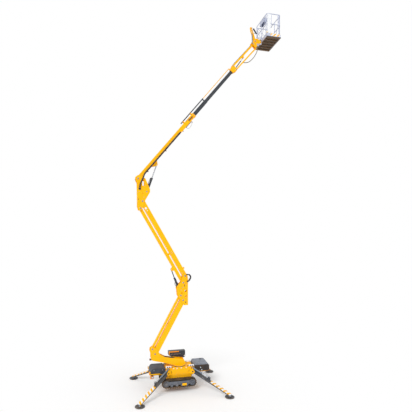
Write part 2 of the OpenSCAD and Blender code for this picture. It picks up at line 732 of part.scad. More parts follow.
module boom_rod() color(steel) place() member(boom_cyl_foot, boom_head_a)
  rod(boom_reach, boom_reach - 390, 24, 38, 72);

// Head of the boom, which carries the jib
module boom_head() {
  j = [boom_l, -128];
  u = j + polar(jib_link, jib_link_a - boom_a);
  f = local(jib_cyl_foot, boom_pin, boom_a);
  cheek = [[inner_end - 100, boom_sag - inner_d / 2], [inner_end - 40, boom_sag - inner_d / 2 - 30],
    [j[0] - 20, j[1] - 56], [j[0] + 40, j[1] - 44], [j[0] + 60, j[1] + 10], [u[0] + 60, u[1] + 10],
    [u[0] + 20, u[1] + 56], [u[0] - 50, u[1] + 44],
    [inner_end - 100, boom_sag + inner_d / 2]];
  color(yellow) boom_frame() {
    twin(cheek, inner_w / 2 + slide_clr, 14);
    bar(j, 18, inner_w + 50);
    bar(u, 18, inner_w + 50);
    bar(f, 13, inner_w + 40);
    // Hose rod that slides in the guide tube
    translate([inner_end - 50 - hose_rod_l, 0, hose_h]) rotate([0, 90, 0])
      cylinder(r = guide_bore - 4, h = hose_rod_l);
    block([inner_end - 90, -10, boom_sag + inner_d / 2 + slide_clr], [inner_end - 40, 10, hose_h + 10]);
    block([inner_end - 90, -inner_w / 2 - 8, boom_sag + inner_d / 2 + slide_clr],
      [inner_end - 40, inner_w / 2 + 8, boom_sag + inner_d / 2 + 14]);
  }
}

// Jib parallelogram
jib_boss = inner_w / 2 - 2;
module jib_lower() color(yellow) place() member(jib_pin, jib_a) difference() {
  union() {
    box_beam(-36, jib_l + 36, jib_w, jib_low_d, 5);
    for (s = [0, jib_l]) boss(s, 33, 2 * jib_boss);
  }
  for (s = [0, jib_l]) boss(s, 18 + pin_clr, 200);
  // The root is forked round the jib cylinder
  block([-60, -29, -60], [300, 29, 60]);
}
module jib_upper() color(yellow) place() member(jib_up_pin, jib_a) {
  s = jib_lug_s;
  difference() {
    union() {
      box_beam(-38, jib_l + 38, jib_w, jib_up_d, 5);
      for (p = [0, jib_l]) boss(p, 36, 2 * jib_boss);
      twin([[s - 58, 1 - jib_up_d / 2], [s + 62, 1 - jib_up_d / 2], [s + 27, jib_lug_h - 25],
        [s - 26, jib_lug_h - 25]],
        26, jib_w / 2 - 26);
    }
    for (p = [0, jib_l]) boss(p, 18 + pin_clr, 200);
    boss(s, 12, 200, jib_lug_h);
    block([s - 148, -29, -60], [s + 132, 29, 8]);
  }
}
jib_reach = reach(jib_cyl_foot, jib_cyl_eye);
jib_head = heading(jib_cyl_foot, jib_cyl_eye);
module jib_barrel() color(grey) place() member(jib_cyl_foot, jib_head) barrel(22, 500, 12, 13, 48);
module jib_rod() color(steel) place() member(jib_cyl_foot, jib_head) rod(jib_reach, 360, 12, 20, 44);

// Knuckle at the jib's end, which keeps its slope to the boom
module jib_knuckle() {
  p = level_pin;
  j = jib_end;
  u = jib_up_end;
  cheek = [[j[0] - 20, j[1] - 50], [j[0] + 46, j[1] - 30], [j[0] + 50, j[1] + 60], [p[0] + 62, p[1] - 20],
    [p[0] + 45, p[1] + 50], [p[0] - 20, p[1] + 62], [level_foot[0] - 10, level_foot[1] + 42],
    [level_foot[0] - 44, level_foot[1] + 10], [level_foot[0] - 34, level_foot[1] - 38],
      [u[0] - 40, u[1] - 46]];
  color(yellow) place() {
    twin(cheek, inner_w / 2 + slide_clr, 12);
    bar(j, 18, inner_w + 40);
    bar(u, 18, inner_w + 40);
    bar(p, 20, inner_w + 40);
    bar(level_foot, 14, 62, -inner_w / 2 - 31);
  }
}
level_reach = reach(level_foot, level_eye);
level_head = heading(level_foot, level_eye);
module level_barrel() color(grey) place() member(level_foot, level_head, level_y)
  barrel(20, 430, 10, 14, 42);
module level_rod() color(steel) place() member(level_foot, level_head, level_y)
  rod(level_reach, 400, 10, 22, 28);

// Arm that stays level and carries the basket
module basket_arm() {
  p = level_pin;
  mast = [[p[0] - 66, p[1] - 20], [p[0] + 66, p[1] - 20], [p[0] + 50, p[1] + 70], [p[0] - 20, p[1] + 300],
    [p[0] - 115, p[1] + 560], [p[0] - 150, p[1] + 690], [p[0] - 200, p[1] + 715], [p[0] - 250, p[1] + 680],
    [p[0] - 225, p[1] + 520], [p[0] - 130, p[1] + 250]];
  color(yellow) place() difference() {
    union() {
      slab(mast, -24, 24);
      bar(p, 62, 2 * jib_boss);
      slab([[p[0], p[1] - 45], [turn_x, floor_z - 60], [turn_x, floor_z + 60], [p[0] + 150, floor_z + 160],
        [p[0] + 30, p[1] + 160]], -30, 30);
      translate([turn_x, 0, floor_z - 70]) cylinder(r = 46, h = 200);
      bar(level_eye, 13, 56, level_y / 2 - 2);
    }
    bar(p, 20 + pin_clr, 300);
    translate([turn_x, 0, floor_z - 71]) cylinder(r = 18 + pin_clr, h = 202);
  }
}

// A rail round the basket at height z, with rounded corners
module ring_rail(z, r, x0, x1, y) {
  c = 90;
  for (s = [-1, 1]) {
    translate([x0 + c, s * y, z]) rotate([0, 90, 0]) cylinder(r = r, h = x1 - x0 - 2 * c);
  }
  for (x = [x0, x1]) translate([x, 0, z]) rotate([90, 0, 0]) cylinder(r = r, h = 2 * (y - c),
    center = true);
  for (k = [[x0 + c, y - c, 90], [x0 + c, c - y, 180], [x1 - c, c - y, 270], [x1 - c, y - c, 0]])
    translate([k[0], k[1], z]) rotate([0, 0, k[2]]) rotate_extrude(angle = 90) translate([c, 0])
      circle(r = r);
}
module basket() {
  x0 = basket_rear + tube_r;
  x1 = basket_rear + basket_x - tube_r;
  y = basket_y / 2 - tube_r;
  top = floor_z + basket_h;
  color(pale) place() {
    // Floor tray with its rim and underside ribs
    difference() {
      block([basket_rear, -basket_y / 2, floor_z - 30],
        [basket_rear + basket_x, basket_y / 2, floor_z + 20]);
      block([basket_rear + 6, -basket_y / 2 + 6, floor_z],
        [basket_rear + basket_x - 6, basket_y / 2 - 6, floor_z + 21]);
      for (i = [-2:2]) block([basket_rear + 40, i * 230 - 95, floor_z - 31],
        [basket_rear + basket_x - 40, i * 230 + 95, floor_z - 6]);
    }
    // Posts, rails and kick boards
    for (xx = [x0, x1]) for (s = [-1, 1]) translate([xx, s * (y - 90), floor_z])
      cylinder(r = tube_r, h = basket_h);
    for (xx = [x0, x1]) translate([xx, 0, floor_z]) cylinder(r = tube_r, h = basket_h);
    translate([x1 - 90, -y, floor_z]) cylinder(r = tube_r, h = basket_h);
    translate([x1 - 90, y, floor_z]) cylinder(r = tube_r, h = basket_h);
    translate([x0 + 90, y, floor_z]) cylinder(r = tube_r, h = basket_h);
    // Broad post beside the way in
    block([x0 + 20, -y - tube_r, floor_z], [x0 + 190, -y + tube_r, top]);
    difference() {
      for (z = [top, floor_z + basket_h * 0.55]) ring_rail(z, tube_r, x0, x1, y);
      // The way in
      block([x0 + 190, -y - 60, floor_z + 200], [x1 - 90 - tube_r, -y + 60, top + 60]);
    }
    for (s = [-1, 1]) block([x0, s * (y + 6) - 4, floor_z], [x1, s * (y + 6) + 4, floor_z + 150]);
    for (xx = [x0 - 6, x1 + 6]) block([xx - 4, -y, floor_z], [xx + 4, y, floor_z + 150]);
    // Control box on the rear rail
    difference() {
      block([x0 - 20, -330, top - 230], [x0 + 150, 130, top - 40]);
      block([x0 - 15, -325, top - 231], [x0 + 145, 125, top - 45]);
    }
    // Hinge lugs above and below the turning boss
    for (z = [floor_z - 70 - 14 - slide_clr, floor_z + 130 + slide_clr]) {
      translate([turn_x, 0, z]) cylinder(r = 42, h = 14);
      block([turn_x, -40, z], [x0, 40, z + 14]);
    }
    block([basket_rear, -40, floor_z - 84 - slide_clr], [x0 + 10, 40, floor_z]);
    block([basket_rear, -40, floor_z], [x0 + 10, 40, floor_z + 144 + slide_clr]);
    translate([turn_x, 0, floor_z - 84]) cylinder(r = 18, h = 228);
  }
}
module basket_gate() {
  x0 = basket_rear + tube_r;
  x1 = basket_rear + basket_x - tube_r - 90;
  y = -basket_y / 2 + tube_r;
  top = floor_z + basket_h;
  mid = floor_z + basket_h * 0.55;
  color(pale) place() difference() {
    union() {
      for (z = [top, mid]) {
        translate([x0 + 196, y, z]) rotate([0, 90, 0])
          cylinder(r = tube_r, h = x1 - x0 - 196 - tube_r - 12);
        translate([x1, y, z - 60]) cylinder(r = tube_r + 7, h = 34);
        block([x1 - tube_r - 42, y - 8, z - 60], [x1 - tube_r, y + 8, z - 26]);
      }
      for (x = [x0 + 240, x1 - tube_r - 32]) translate([x, y, mid - 60])
        cylinder(r = 12, h = top - mid + 60);
    }
    translate([x1, y, mid - 100]) cylinder(r = tube_r + pin_clr, h = top - mid + 200);
  }
}

// Outriggers, drawn in the leg's plane
cover_t = 4;
cover_skirt = 38;
leg_cover_s = leg_lug_s + 150;
// The beam's top edge at s, where its cover lies
function cover_h(s) = leg_root_d / 2 - (s - 200) * (leg_root_d - leg_tip_d) / 2 / (leg_len - 240) - 1;
module leg_body(i) place() at_leg(i) {
  color(black) member(leg_hinge, leg_a) difference() {
    union() {
      slab([[-50, -leg_root_d / 2], [200, -leg_root_d / 2], [leg_len - 40, -leg_tip_d / 2],
        [leg_len + 46, -leg_tip_d / 2],
        [leg_len + 46, leg_tip_d / 2], [leg_len - 40, leg_tip_d / 2], [200, leg_root_d / 2],
          [-50, leg_root_d / 2]],
        -leg_w / 2, leg_w / 2);
      // Cover over the outer half, a channel turned down
      slab([[leg_cover_s, cover_h(leg_cover_s)], [leg_len + 60, cover_h(leg_len)],
        [leg_len + 60, cover_h(leg_len) + cover_t],
        [leg_cover_s, cover_h(leg_cover_s) + cover_t]], -leg_cover_w / 2, leg_cover_w / 2);
      twin([[leg_cover_s, cover_h(leg_cover_s) - cover_skirt],
        [leg_len + 30, cover_h(leg_len) - cover_skirt],
        [leg_len + 60, cover_h(leg_len)], [leg_cover_s, cover_h(leg_cover_s)]],
          leg_cover_w / 2 - cover_t, cover_t);
      twin([[leg_lug_s - 90, 40], [leg_lug_s + 90, 40], [leg_lug_s + 38, leg_lug_h + 28],
        [leg_lug_s - 38, leg_lug_h + 28]],
        34, 14);
    }
    boss(0, 24 + pin_clr, 300);
    boss(leg_lug_s, 16, 300, leg_lug_h);
    slab([[60, leg_t - leg_root_d / 2], [200, leg_t - leg_root_d / 2],
      [leg_len - 50, leg_t - leg_tip_d / 2],
      [leg_len - 50, leg_tip_d / 2 - leg_t], [200, leg_root_d / 2 - leg_t], [60, leg_root_d / 2 - leg_t]],
      leg_t - leg_w / 2, leg_w / 2 - leg_t);
  }
  // Foot stem, ball and dished pad
  color(steel) translate([ankle[0], 0, 0]) {
    translate([0, 0, pad_h - 6]) cylinder(r = 26, h = ankle[1] - pad_h);
    rotate_extrude($fn = 64) polygon([[0, 0], [pad_r - 14, 0], [pad_r, 14], [pad_r, 30], [pad_r - 10, 34],
      [pad_r * 0.55, 30], [60, pad_h], [0, pad_h]]);
  }
}
module leg_1() leg_body(0);
module leg_2() leg_body(1);
module leg_3() leg_body(2);
module leg_4() leg_body(3);

leg_reach = reach(leg_cyl_foot, leg_cyl_eye);
leg_head = heading(leg_cyl_foot, leg_cyl_eye);
module leg_barrel(i) color(grey) place() at_leg(i) member(leg_cyl_foot, leg_head)
  barrel(leg_barrel_r, 540, 18, 18, 70);
module leg_rod(i) color(steel) place() at_leg(i) member(leg_cyl_foot, leg_head)
  rod(leg_reach, leg_reach - 440, 18, 30, 60);
module leg_barrel_1() leg_barrel(0);
module leg_barrel_2() leg_barrel(1);
module leg_barrel_3() leg_barrel(2);
module leg_barrel_4() leg_barrel(3);
module leg_rod_1() leg_rod(0);
module leg_rod_2() leg_rod(1);
module leg_rod_3() leg_rod(2);
module leg_rod_4() leg_rod(3);

chassis();
leg_brackets();
track_frames();
track_near();
track_far();
engine_canopy();
engine_block();
rear_locker();
slew_ring();
turret();
valve_cabinet();
lower_riser();
lower_tie();
lower_barrel();
lower_rod();
mid_knuckle();
upper_riser();
upper_tie();
upper_barrel();
upper_rod();
top_knuckle();
boom_outer();
boom_conduit();
boom_barrel();
boom_rod();
boom_mid();
boom_inner();
boom_head();
jib_lower();
jib_upper();
jib_barrel();
jib_rod();
jib_knuckle();
level_barrel();
level_rod();
basket_arm();
basket();
basket_gate();
leg_1();
leg_2();
leg_3();
leg_4();
leg_barrel_1();
leg_barrel_2();
leg_barrel_3();
leg_barrel_4();
leg_rod_1();
leg_rod_2();
leg_rod_3();
leg_rod_4();
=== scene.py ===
import bmesh
import bpy
import math
from mathutils import Matrix, Vector


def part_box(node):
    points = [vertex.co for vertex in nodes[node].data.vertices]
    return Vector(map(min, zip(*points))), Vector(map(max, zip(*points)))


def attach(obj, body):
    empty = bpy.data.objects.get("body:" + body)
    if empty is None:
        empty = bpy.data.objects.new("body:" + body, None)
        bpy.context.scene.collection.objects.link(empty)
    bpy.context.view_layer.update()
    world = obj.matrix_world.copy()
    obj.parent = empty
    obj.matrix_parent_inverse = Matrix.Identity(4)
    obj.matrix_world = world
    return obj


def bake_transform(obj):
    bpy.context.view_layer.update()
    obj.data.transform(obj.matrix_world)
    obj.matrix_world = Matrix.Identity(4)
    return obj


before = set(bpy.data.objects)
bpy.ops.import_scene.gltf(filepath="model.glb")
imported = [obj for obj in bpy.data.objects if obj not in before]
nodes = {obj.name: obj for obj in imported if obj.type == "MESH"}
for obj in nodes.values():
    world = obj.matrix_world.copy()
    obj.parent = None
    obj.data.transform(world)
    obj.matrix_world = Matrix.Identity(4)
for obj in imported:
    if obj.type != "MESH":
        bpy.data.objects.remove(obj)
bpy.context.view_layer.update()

# Machine points in metres, as [x, z] in the boom plane from the slewing axis at SX
ring_low, ring_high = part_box("slew_ring")
SX = (ring_low[0] + ring_high[0]) / 2


def pol(r, a):
    return Vector((r * math.cos(math.radians(a)), r * math.sin(math.radians(a))))


def step(a, s, h=0.0):
    c, d = math.cos(math.radians(a)), math.sin(math.radians(a))
    return Vector((s * c - h * d, s * d + h * c))


LOWER_A, UPPER_A, BOOM_A, JIB_A = 61.5, 120.0, 50.0, 48.5
foot_pin = Vector((-1.145, 1.704))
foot_tie = foot_pin + pol(0.265, 119.5)
lower_top = foot_pin + pol(2.794, LOWER_A)
lower_tie_top = lower_top + pol(0.265, 119.5)
upper_foot = lower_top + Vector((0.093, 1.163))
upper_tie_foot = upper_foot + pol(0.340, 254.5)
upper_top = upper_foot + pol(4.030, UPPER_A)
upper_tie_top = upper_top + pol(0.340, 254.5)
boom_pin = upper_top + Vector((-0.208, 1.053))
jib_pin = boom_pin + step(BOOM_A, 7.350, -0.128)
jib_up_pin = jib_pin + pol(0.229, 133.5)
jib_end = jib_pin + pol(1.630, JIB_A)
jib_up_end = jib_end + pol(0.229, 133.5)
level_pin = jib_end + Vector((-0.065, 0.304))
turn_x = level_pin[0] + 0.290
basket_rear = turn_x + 0.054
floor_z = level_pin[1] + 0.014
lower_cyl_foot = foot_pin + Vector((0.952, -0.362))
upper_cyl_foot = upper_tie_foot + Vector((-0.241, -0.216))
boom_cyl_foot = boom_pin + Vector((0.440, -0.570))
jib_cyl_foot = jib_up_pin + pol(0.163, -35.9)
level_foot = level_pin + pol(0.205, 213)


def place(p=(0, 0), a=0.0, y=0.0):
    """Matrix of a member: X along it at angle a, Z to its left, Y across."""
    c, d = math.cos(math.radians(a)), math.sin(math.radians(a))
    m = Matrix(((c, 0, -d, p[0] + SX), (0, 1, 0, y), (d, 0, c, p[1]), (0, 0, 0, 1)))
    return m


# Camera: level, at the photograph's viewing angle
cam = bpy.data.objects.new("camera", bpy.data.cameras.new("camera"))
bpy.context.scene.collection.objects.link(cam)
cam.data.sensor_width = 36.0
cam.data.lens = 36.0 * 346.3 / 412
cam.data.shift_x = (206 - 182.69) / 412
cam.data.shift_y = (238.18 - 206) / 412
cam.data.clip_end = 200
cam.location = (-3.4908 + SX, -16.1277, 7.104)
cam.rotation_euler = (math.radians(90), 0, math.radians(-12.88))
bpy.context.scene.camera = cam


# Materials
def srgb(c):
    return tuple(v / 12.92 if v <= 0.04045 else ((v + 0.055) / 1.055) ** 2.4 for v in c)


def material(name, rgb, rough, metal=0.0, second=None, scale=6.0, amount=0.35, bump=0.0004, fine=90.0,
             coat=0.0, dust=None, specular=0.5):
    """Surface with cloudy colour variation, uneven roughness and fine bump; optional dust low down."""
    m = bpy.data.materials.new(name)
    m.use_nodes = True
    t = m.node_tree
    n, link = t.nodes, t.links.new
    b = n["Principled BSDF"]
    b.inputs["Metallic"].default_value = metal
    b.inputs["Coat Weight"].default_value = coat
    b.inputs["Coat Roughness"].default_value = 0.12
    b.inputs["Specular IOR Level"].default_value = specular
    co = n.new("ShaderNodeTexCoord").outputs["Object"]

    def noise(s, detail):
        k = n.new("ShaderNodeTexNoise")
        k.inputs["Scale"].default_value = s
        k.inputs["Detail"].default_value = detail
        link(co, k.inputs["Vector"])
        return k.outputs["Fac"]

    def ramp(src, a, c, lo=(0, 0, 0, 1), hi=(1, 1, 1, 1)):
        k = n.new("ShaderNodeValToRGB")
        k.color_ramp.elements[0].position, k.color_ramp.elements[0].color = a, lo
        k.color_ramp.elements[1].position, k.color_ramp.elements[1].color = c, hi
        link(src, k.inputs["Fac"])
        return k.outputs["Color"]

    def mix(fac, a, c):
        k = n.new("ShaderNodeMix")
        k.data_type = "RGBA"
        for i, v in ((0, fac), (6, a), (7, c)):
            if hasattr(v, "links"):
                link(v, k.inputs[i])
            else:
                k.inputs[i].default_value = v
        return k.outputs[2]

    base = srgb(rgb)
    other = srgb(second) if second else tuple(v * (1 - amount) for v in base)
    cloud = noise(scale, 5.0)
    colour = ramp(cloud, 0.25, 0.62, tuple(other) + (1,), tuple(base) + (1,))
    if dust:
        sep = n.new("ShaderNodeSeparateXYZ")
        link(co, sep.inputs[0])
        low = n.new("ShaderNodeMapRange")
        low.inputs["From Min"].default_value = 0.0
        low.inputs["From Max"].default_value = 1.1
        low.inputs["To Min"].default_value = 0.55
        low.inputs["To Max"].default_value = 0.0
        link(sep.outputs["Z"], low.inputs["Value"])
        k = n.new("ShaderNodeMath")
        k.operation = "MULTIPLY"
        link(low.outputs[0], k.inputs[0])
        link(ramp(noise(3.0, 8.0), 0.42, 0.7), k.inputs[1])
        colour = mix(k.outputs[0], colour, srgb(dust) + (1,))
    link(colour, b.inputs["Base Color"])
    r = n.new("ShaderNodeMapRange")
    r.inputs["To Min"].default_value = max(0.04, rough - 0.09)
    r.inputs["To Max"].default_value = min(1.0, rough + 0.12)
    link(noise(scale * 2.3, 6.0), r.inputs["Value"])
    link(r.outputs[0], b.inputs["Roughness"])
    bm = n.new("ShaderNodeBump")
    bm.inputs["Distance"].default_value = bump
    bm.inputs["Strength"].default_value = 0.6
    link(noise(fine, 3.0), bm.inputs["Height"])
    link(bm.outputs["Normal"], b.inputs["Normal"])
    return m


YELLOW = (1.0, 0.735, 0.0)
YELLOW_2 = (1.0, 0.70, 0.0)
M = {
    "yellow": material("yellow_paint", YELLOW, 0.36, second=YELLOW_2, coat=0.06, specular=0.18),
    "yellow_low": material("yellow_paint_low", YELLOW, 0.4, second=YELLOW_2, coat=0.05, specular=0.18,
                           dust=(0.62, 0.5, 0.32)),
    "amber": material("amber_paint", (0.98, 0.60, 0.02), 0.36, second=(0.93, 0.53, 0.01), coat=0.15, specular=0.3),
    "black": material("black_paint", (0.16, 0.17, 0.19), 0.42, second=(0.11, 0.115, 0.13), coat=0.1),
    "boom_black": material("boom_black", (0.15, 0.17, 0.20), 0.36, second=(0.10, 0.115, 0.14), coat=0.15),
    "leg": material("leg_paint", (0.27, 0.28, 0.30), 0.46, second=(0.20, 0.21, 0.23), dust=(0.5, 0.42, 0.32)),
    "grey": material("grey_paint", (0.40, 0.42, 0.46), 0.44, second=(0.31, 0.33, 0.36), dust=(0.52, 0.44, 0.34)),
    "barrel": material("barrel_paint", (0.42, 0.47, 0.52), 0.34, second=(0.33, 0.38, 0.43), coat=0.15),
    "white": material("white_paint", (0.93, 0.94, 0.95), 0.36, second=(0.86, 0.87, 0.88), coat=0.2),
    "chrome": material("chrome_rod", (0.66, 0.68, 0.71), 0.2, metal=1.0, second=(0.58, 0.60, 0.63), bump=0.0001),
    "steel": material("plated_steel", (0.62, 0.63, 0.66), 0.38, metal=0.9, second=(0.5, 0.5, 0.52), scale=30),
    "iron": material("engine_iron", (0.27, 0.27, 0.28), 0.62, metal=0.6, second=(0.2, 0.19, 0.19), scale=14),
    "rubber": material("track_rubber", (0.27, 0.23, 0.18), 0.82, second=(0.19, 0.165, 0.135), bump=0.002, fine=220,
                       dust=(0.60, 0.45, 0.28)),
    "hose": material("hose_rubber", (0.10, 0.10, 0.11), 0.52, second=(0.07, 0.07, 0.075), bump=0.0006, fine=400),
    "old_hose": material("weathered_hose", (0.38, 0.30, 0.13), 0.6, second=(0.33, 0.27, 0.14), bump=0.0006, fine=400),
    "cover": material("grey_cover", (0.50, 0.52, 0.56), 0.55, second=(0.42, 0.44, 0.48), bump=0.0008, fine=260),
    "dark_cover": material("dark_cover", (0.27, 0.28, 0.31), 0.58, second=(0.2, 0.21, 0.24), bump=0.0008, fine=260),
    "brown_cover": material("brown_cover", (0.24, 0.18, 0.13), 0.6, second=(0.17, 0.15, 0.14), scale=5, fine=260),
    "alloy": material("basket_alloy", (0.74, 0.76, 0.83), 0.38, metal=0.3, second=(0.62, 0.65, 0.74), scale=12),
    "deck": material("basket_underside", (0.27, 0.18, 0.05), 0.6, second=(0.19, 0.13, 0.05), scale=9),
    "deck_rib": material("basket_ribs", (0.38, 0.25, 0.07), 0.55, second=(0.27, 0.19, 0.07), scale=9),
    "brown": material("clamp_bronze", (0.55, 0.35, 0.16), 0.5, second=(0.42, 0.26, 0.12), metal=0.2),
    "lamp": material("amber_lens", (1.0, 0.86, 0.1), 0.14, second=(1.0, 0.76, 0.06), coat=0.6),
    "red": material("red_knob", (0.8, 0.07, 0.05), 0.3, second=(0.68, 0.05, 0.04), coat=0.4),
    "blue": material("blue_cylinder", (0.10, 0.17, 0.27), 0.36, second=(0.07, 0.12, 0.20), coat=0.3),
    "lens": material("lamp_glass", (0.86, 0.90, 0.92), 0.1, second=(0.76, 0.83, 0.88), coat=0.7),
}
# The record's material slot that each look belongs to
NODE_LOOK = {
    "chassis": "yellow_low", "leg_brackets": "yellow_low", "track_frames": "grey", "track_near": "rubber",
    "track_far": "rubber", "engine_canopy": "cover", "engine_block": "iron", "rear_locker": "dark_cover",
    "slew_ring": "black", "valve_cabinet": "black", "lower_barrel": "black", "upper_barrel": "black",
    "boom_barrel": "black", "boom_mid": "boom_black", "boom_inner": "boom_black", "jib_barrel": "black",
    "boom_conduit": "hose", "level_barrel": "barrel", "basket": "alloy", "basket_gate": "alloy",
}
for name, ob in nodes.items():
    look = NODE_LOOK.get(name, "yellow")
    if "_rod" in name:
        look = "black" if name == "upper_rod" else "chrome"
    elif name.startswith("leg_barrel"):
        look = "barrel"
    elif name.startswith("leg_") and name[4:].isdigit():
        look = "leg"
    ob.data.materials.clear()
    ob.data.materials.append(M[look])


# Mesh building
def smooth(pts, rings):
    """Points along a smooth curve through pts, with rings steps between each two."""
    p = [Vector(q) for q in pts]
    line = []
    for k in range(len(p) - 1):
        a, b, c, d = p[max(k - 1, 0)], p[k], p[k + 1], p[min(k + 2, len(p) - 1)]
        for j in range(rings):
            t = j / rings
            line.append(0.5 * (2 * b + (c - a) * t + (2 * a - 5 * b + 4 * c - d) * t * t
                               + (3 * b - a - 3 * c + d) * t ** 3))
    line.append(p[-1])
    return line


class Build:
    def __init__(self, name, body, looks):
        self.name, self.body, self.looks = name, body, looks
        self.v, self.f, self.i = [], [], []
        self.m = Matrix.Identity(4)
        self.look = 0

    def add(self, verts, faces):
        n = len(self.v)
        self.v += [self.m @ Vector(p) for p in verts]
        self.f += [tuple(n + k for k in f) for f in faces]
        self.i += [self.look] * len(faces)

    def box(self, lo, hi, c=0.002):
        """Box with every edge chamfered by c."""
        c = min([c] + [(hi[k] - lo[k]) * 0.45 for k in range(3)])
        verts, at = [], {}
        for sx in (0, 1):
            for sy in (0, 1):
                for sz in (0, 1):
                    s = (sx, sy, sz)
                    for axis in range(3):
                        p = []
                        for k in range(3):
                            edge = hi[k] if s[k] else lo[k]
                            inner = edge - c if s[k] else edge + c
                            p.append(edge if k == axis else inner)
                        at[(s, axis)] = len(verts)
                        verts.append(p)
        faces = []
        for axis in range(3):
            u, w = [k for k in range(3) if k != axis]
            for side in (0, 1):
                loop = []
                for a, b in ((0, 0), (1, 0), (1, 1), (0, 1)):
                    s = [0, 0, 0]
                    s[axis], s[u], s[w] = side, a, b
                    loop.append(at[(tuple(s), axis)])
                faces.append(loop)
            for a in (0, 1):
                for b in (0, 1):
                    s0, s1 = [0, 0, 0], [0, 0, 0]
                    s0[u] = s1[u] = a
                    s0[w] = s1[w] = b
                    s1[axis] = 1
                    s0, s1 = tuple(s0), tuple(s1)
                    faces.append([at[(s0, u)], at[(s1, u)], at[(s1, w)], at[(s0, w)]])
        for s in {k[0] for k in at}:
            faces.append([at[(s, 0)], at[(s, 1)], at[(s, 2)]])
        self.add(verts, faces)

    def lathe(self, a, b, prof, seg=20):
        """Profile of (distance from a, radius) turned about the line from a to b."""
        a, b = Vector(a), Vector(b)
        z = (b - a).normalized()
        x = z.orthogonal().normalized()
        y = z.cross(x)
        verts, faces = [], []
        for t, r in prof:
            for k in range(seg):
                w = 2 * math.pi * k / seg
                verts.append(a + z * t + (x * math.cos(w) + y * math.sin(w)) * r)
        for j in range(len(prof) - 1):
            for k in range(seg):
                q = (k + 1) % seg
                faces.append([j * seg + k, j * seg + q, (j + 1) * seg + q, (j + 1) * seg + k])
        faces.append(list(range(seg))[::-1])
        faces.append([(len(prof) - 1) * seg + k for k in range(seg)])
        self.add(verts, faces)

    def rod(self, a, b, r, seg=20, c=None):
        l = (Vector(b) - Vector(a)).length
        c = min(r * 0.15 if c is None else c, l * 0.4)
        self.lathe(a, b, [(0, r - c), (c, r), (l - c, r), (l, r - c)], seg)

    def tube(self, pts, r, seg=10, rings=4):
        """Round tube along a smooth curve through pts."""
        line = smooth(pts, rings)
        verts, faces, x = [], [], None
        for k, q in enumerate(line):
            z = (line[min(k + 1, len(line) - 1)] - line[max(k - 1, 0)]).normalized()
            x = z.orthogonal().normalized() if x is None else (x - z * x.dot(z)).normalized()
            y = z.cross(x)
            for j in range(seg):
                w = 2 * math.pi * j / seg
                verts.append(q + (x * math.cos(w) + y * math.sin(w)) * r)
        for k in range(len(line) - 1):
            for j in range(seg):
                q = (j + 1) % seg
                faces.append([k * seg + j, k * seg + q, (k + 1) * seg + q, (k + 1) * seg + j])
        faces.append(list(range(seg))[::-1])
        faces.append([(len(line) - 1) * seg + j for j in range(seg)])
        self.add(verts, faces)

    def bolt(self, p, n, r=0.009, h=0.007):
        """Hexagon head on a washer, standing along n."""
        p, n = Vector(p), Vector(n).normalized()
        self.lathe(p, p + n, [(0, r * 1.5), (h * 0.25, r * 1.5), (h * 0.3, r * 1.4)], 16)
        self.lathe(p, p + n, [(h * 0.3, r), (h * 0.9, r), (h * 1.1, r * 0.8)], 6)

    def prism(self, poly, y0, y1):
        """Outline of [x, z] points drawn across from y0 to y1."""
        k = len(poly)
        verts = [(x, y0, z) for x, z in poly] + [(x, y1, z) for x, z in poly]
        faces = [[j, (j + 1) % k, k + (j + 1) % k, k + j] for j in range(k)]
        self.add(verts, faces + [list(range(k))[::-1], list(range(k, 2 * k))])

    def sheet(self, outer, shift):
        """Thin plate between four outer corners and the same corners moved by shift."""
        back = [Vector(p) + Vector(shift) for p in outer]
        self.add(list(outer) + back,
                 [[0, 1, 2, 3], [7, 6, 5, 4], [0, 4, 5, 1], [2, 6, 7, 3], [1, 5, 6, 2], [3, 7, 4, 0]])

    def done(self):
        me = bpy.data.meshes.new(self.name)
        me.from_pydata([tuple(p) for p in self.v], [], self.f)
        for look in self.looks:
            me.materials.append(M[look])
        me.polygons.foreach_set("material_index", self.i)
        me.polygons.foreach_set("use_smooth", [True] * len(self.f))
        ob = bpy.data.objects.new(self.name, me)
        bpy.context.scene.collection.objects.link(ob)
        outward(me)
        me.set_sharp_from_angle(angle=math.radians(32))
        if self.body:
            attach(ob, self.body)
        return ob


def outward(me):
    """Turn every face of a mesh to the outside."""
    bm = bmesh.new()
    bm.from_mesh(me)
    bmesh.ops.recalc_face_normals(bm, faces=bm.faces)
    bm.to_mesh(me)
    bm.free()


# Free hoses: each one's centre line, as [x, z] or boom-frame points at a distance y across
def hose(name, look, r, pts, body=None, bend=None):
    """Hose tube through pts, attached to body; bend is (body, body, start, end) where it crosses a joint, but only
    whether it is given is used: then the tube is left unattached with its transform baked.
    """
    line = smooth(pts, 5)
    k = Build(name, None if bend else body, [look])
    k.tube(line, r, 12, 1)
    ob = k.done()
    if bend:
        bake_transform(ob)


def at(m, pts):
    return [m @ Vector(p) for p in pts]


# Three hoses loop from the near plate's edge back to it beside the middle knuckle
LOOP_R = 0.012
LOOP_Y = -0.142
for j in range(3):
    y, out = LOOP_Y - 0.030 * j, 0.016 * (j - 1)
    hose("knuckle_hose_%d" % (j + 1), "hose", LOOP_R,
         at(place(), [(0.395 + out / 2, y, 5.392), (0.460 + out, y, 5.375 + out), (0.520 + out, y, 5.325 + out / 2),
                      (0.542 + out, y, 5.250), (0.512 + out, y, 5.165 - out / 2), (0.460 + out, y, 5.095 - out),
                      (0.405 + out / 2, y, 5.052)]), "mid_knuckle")

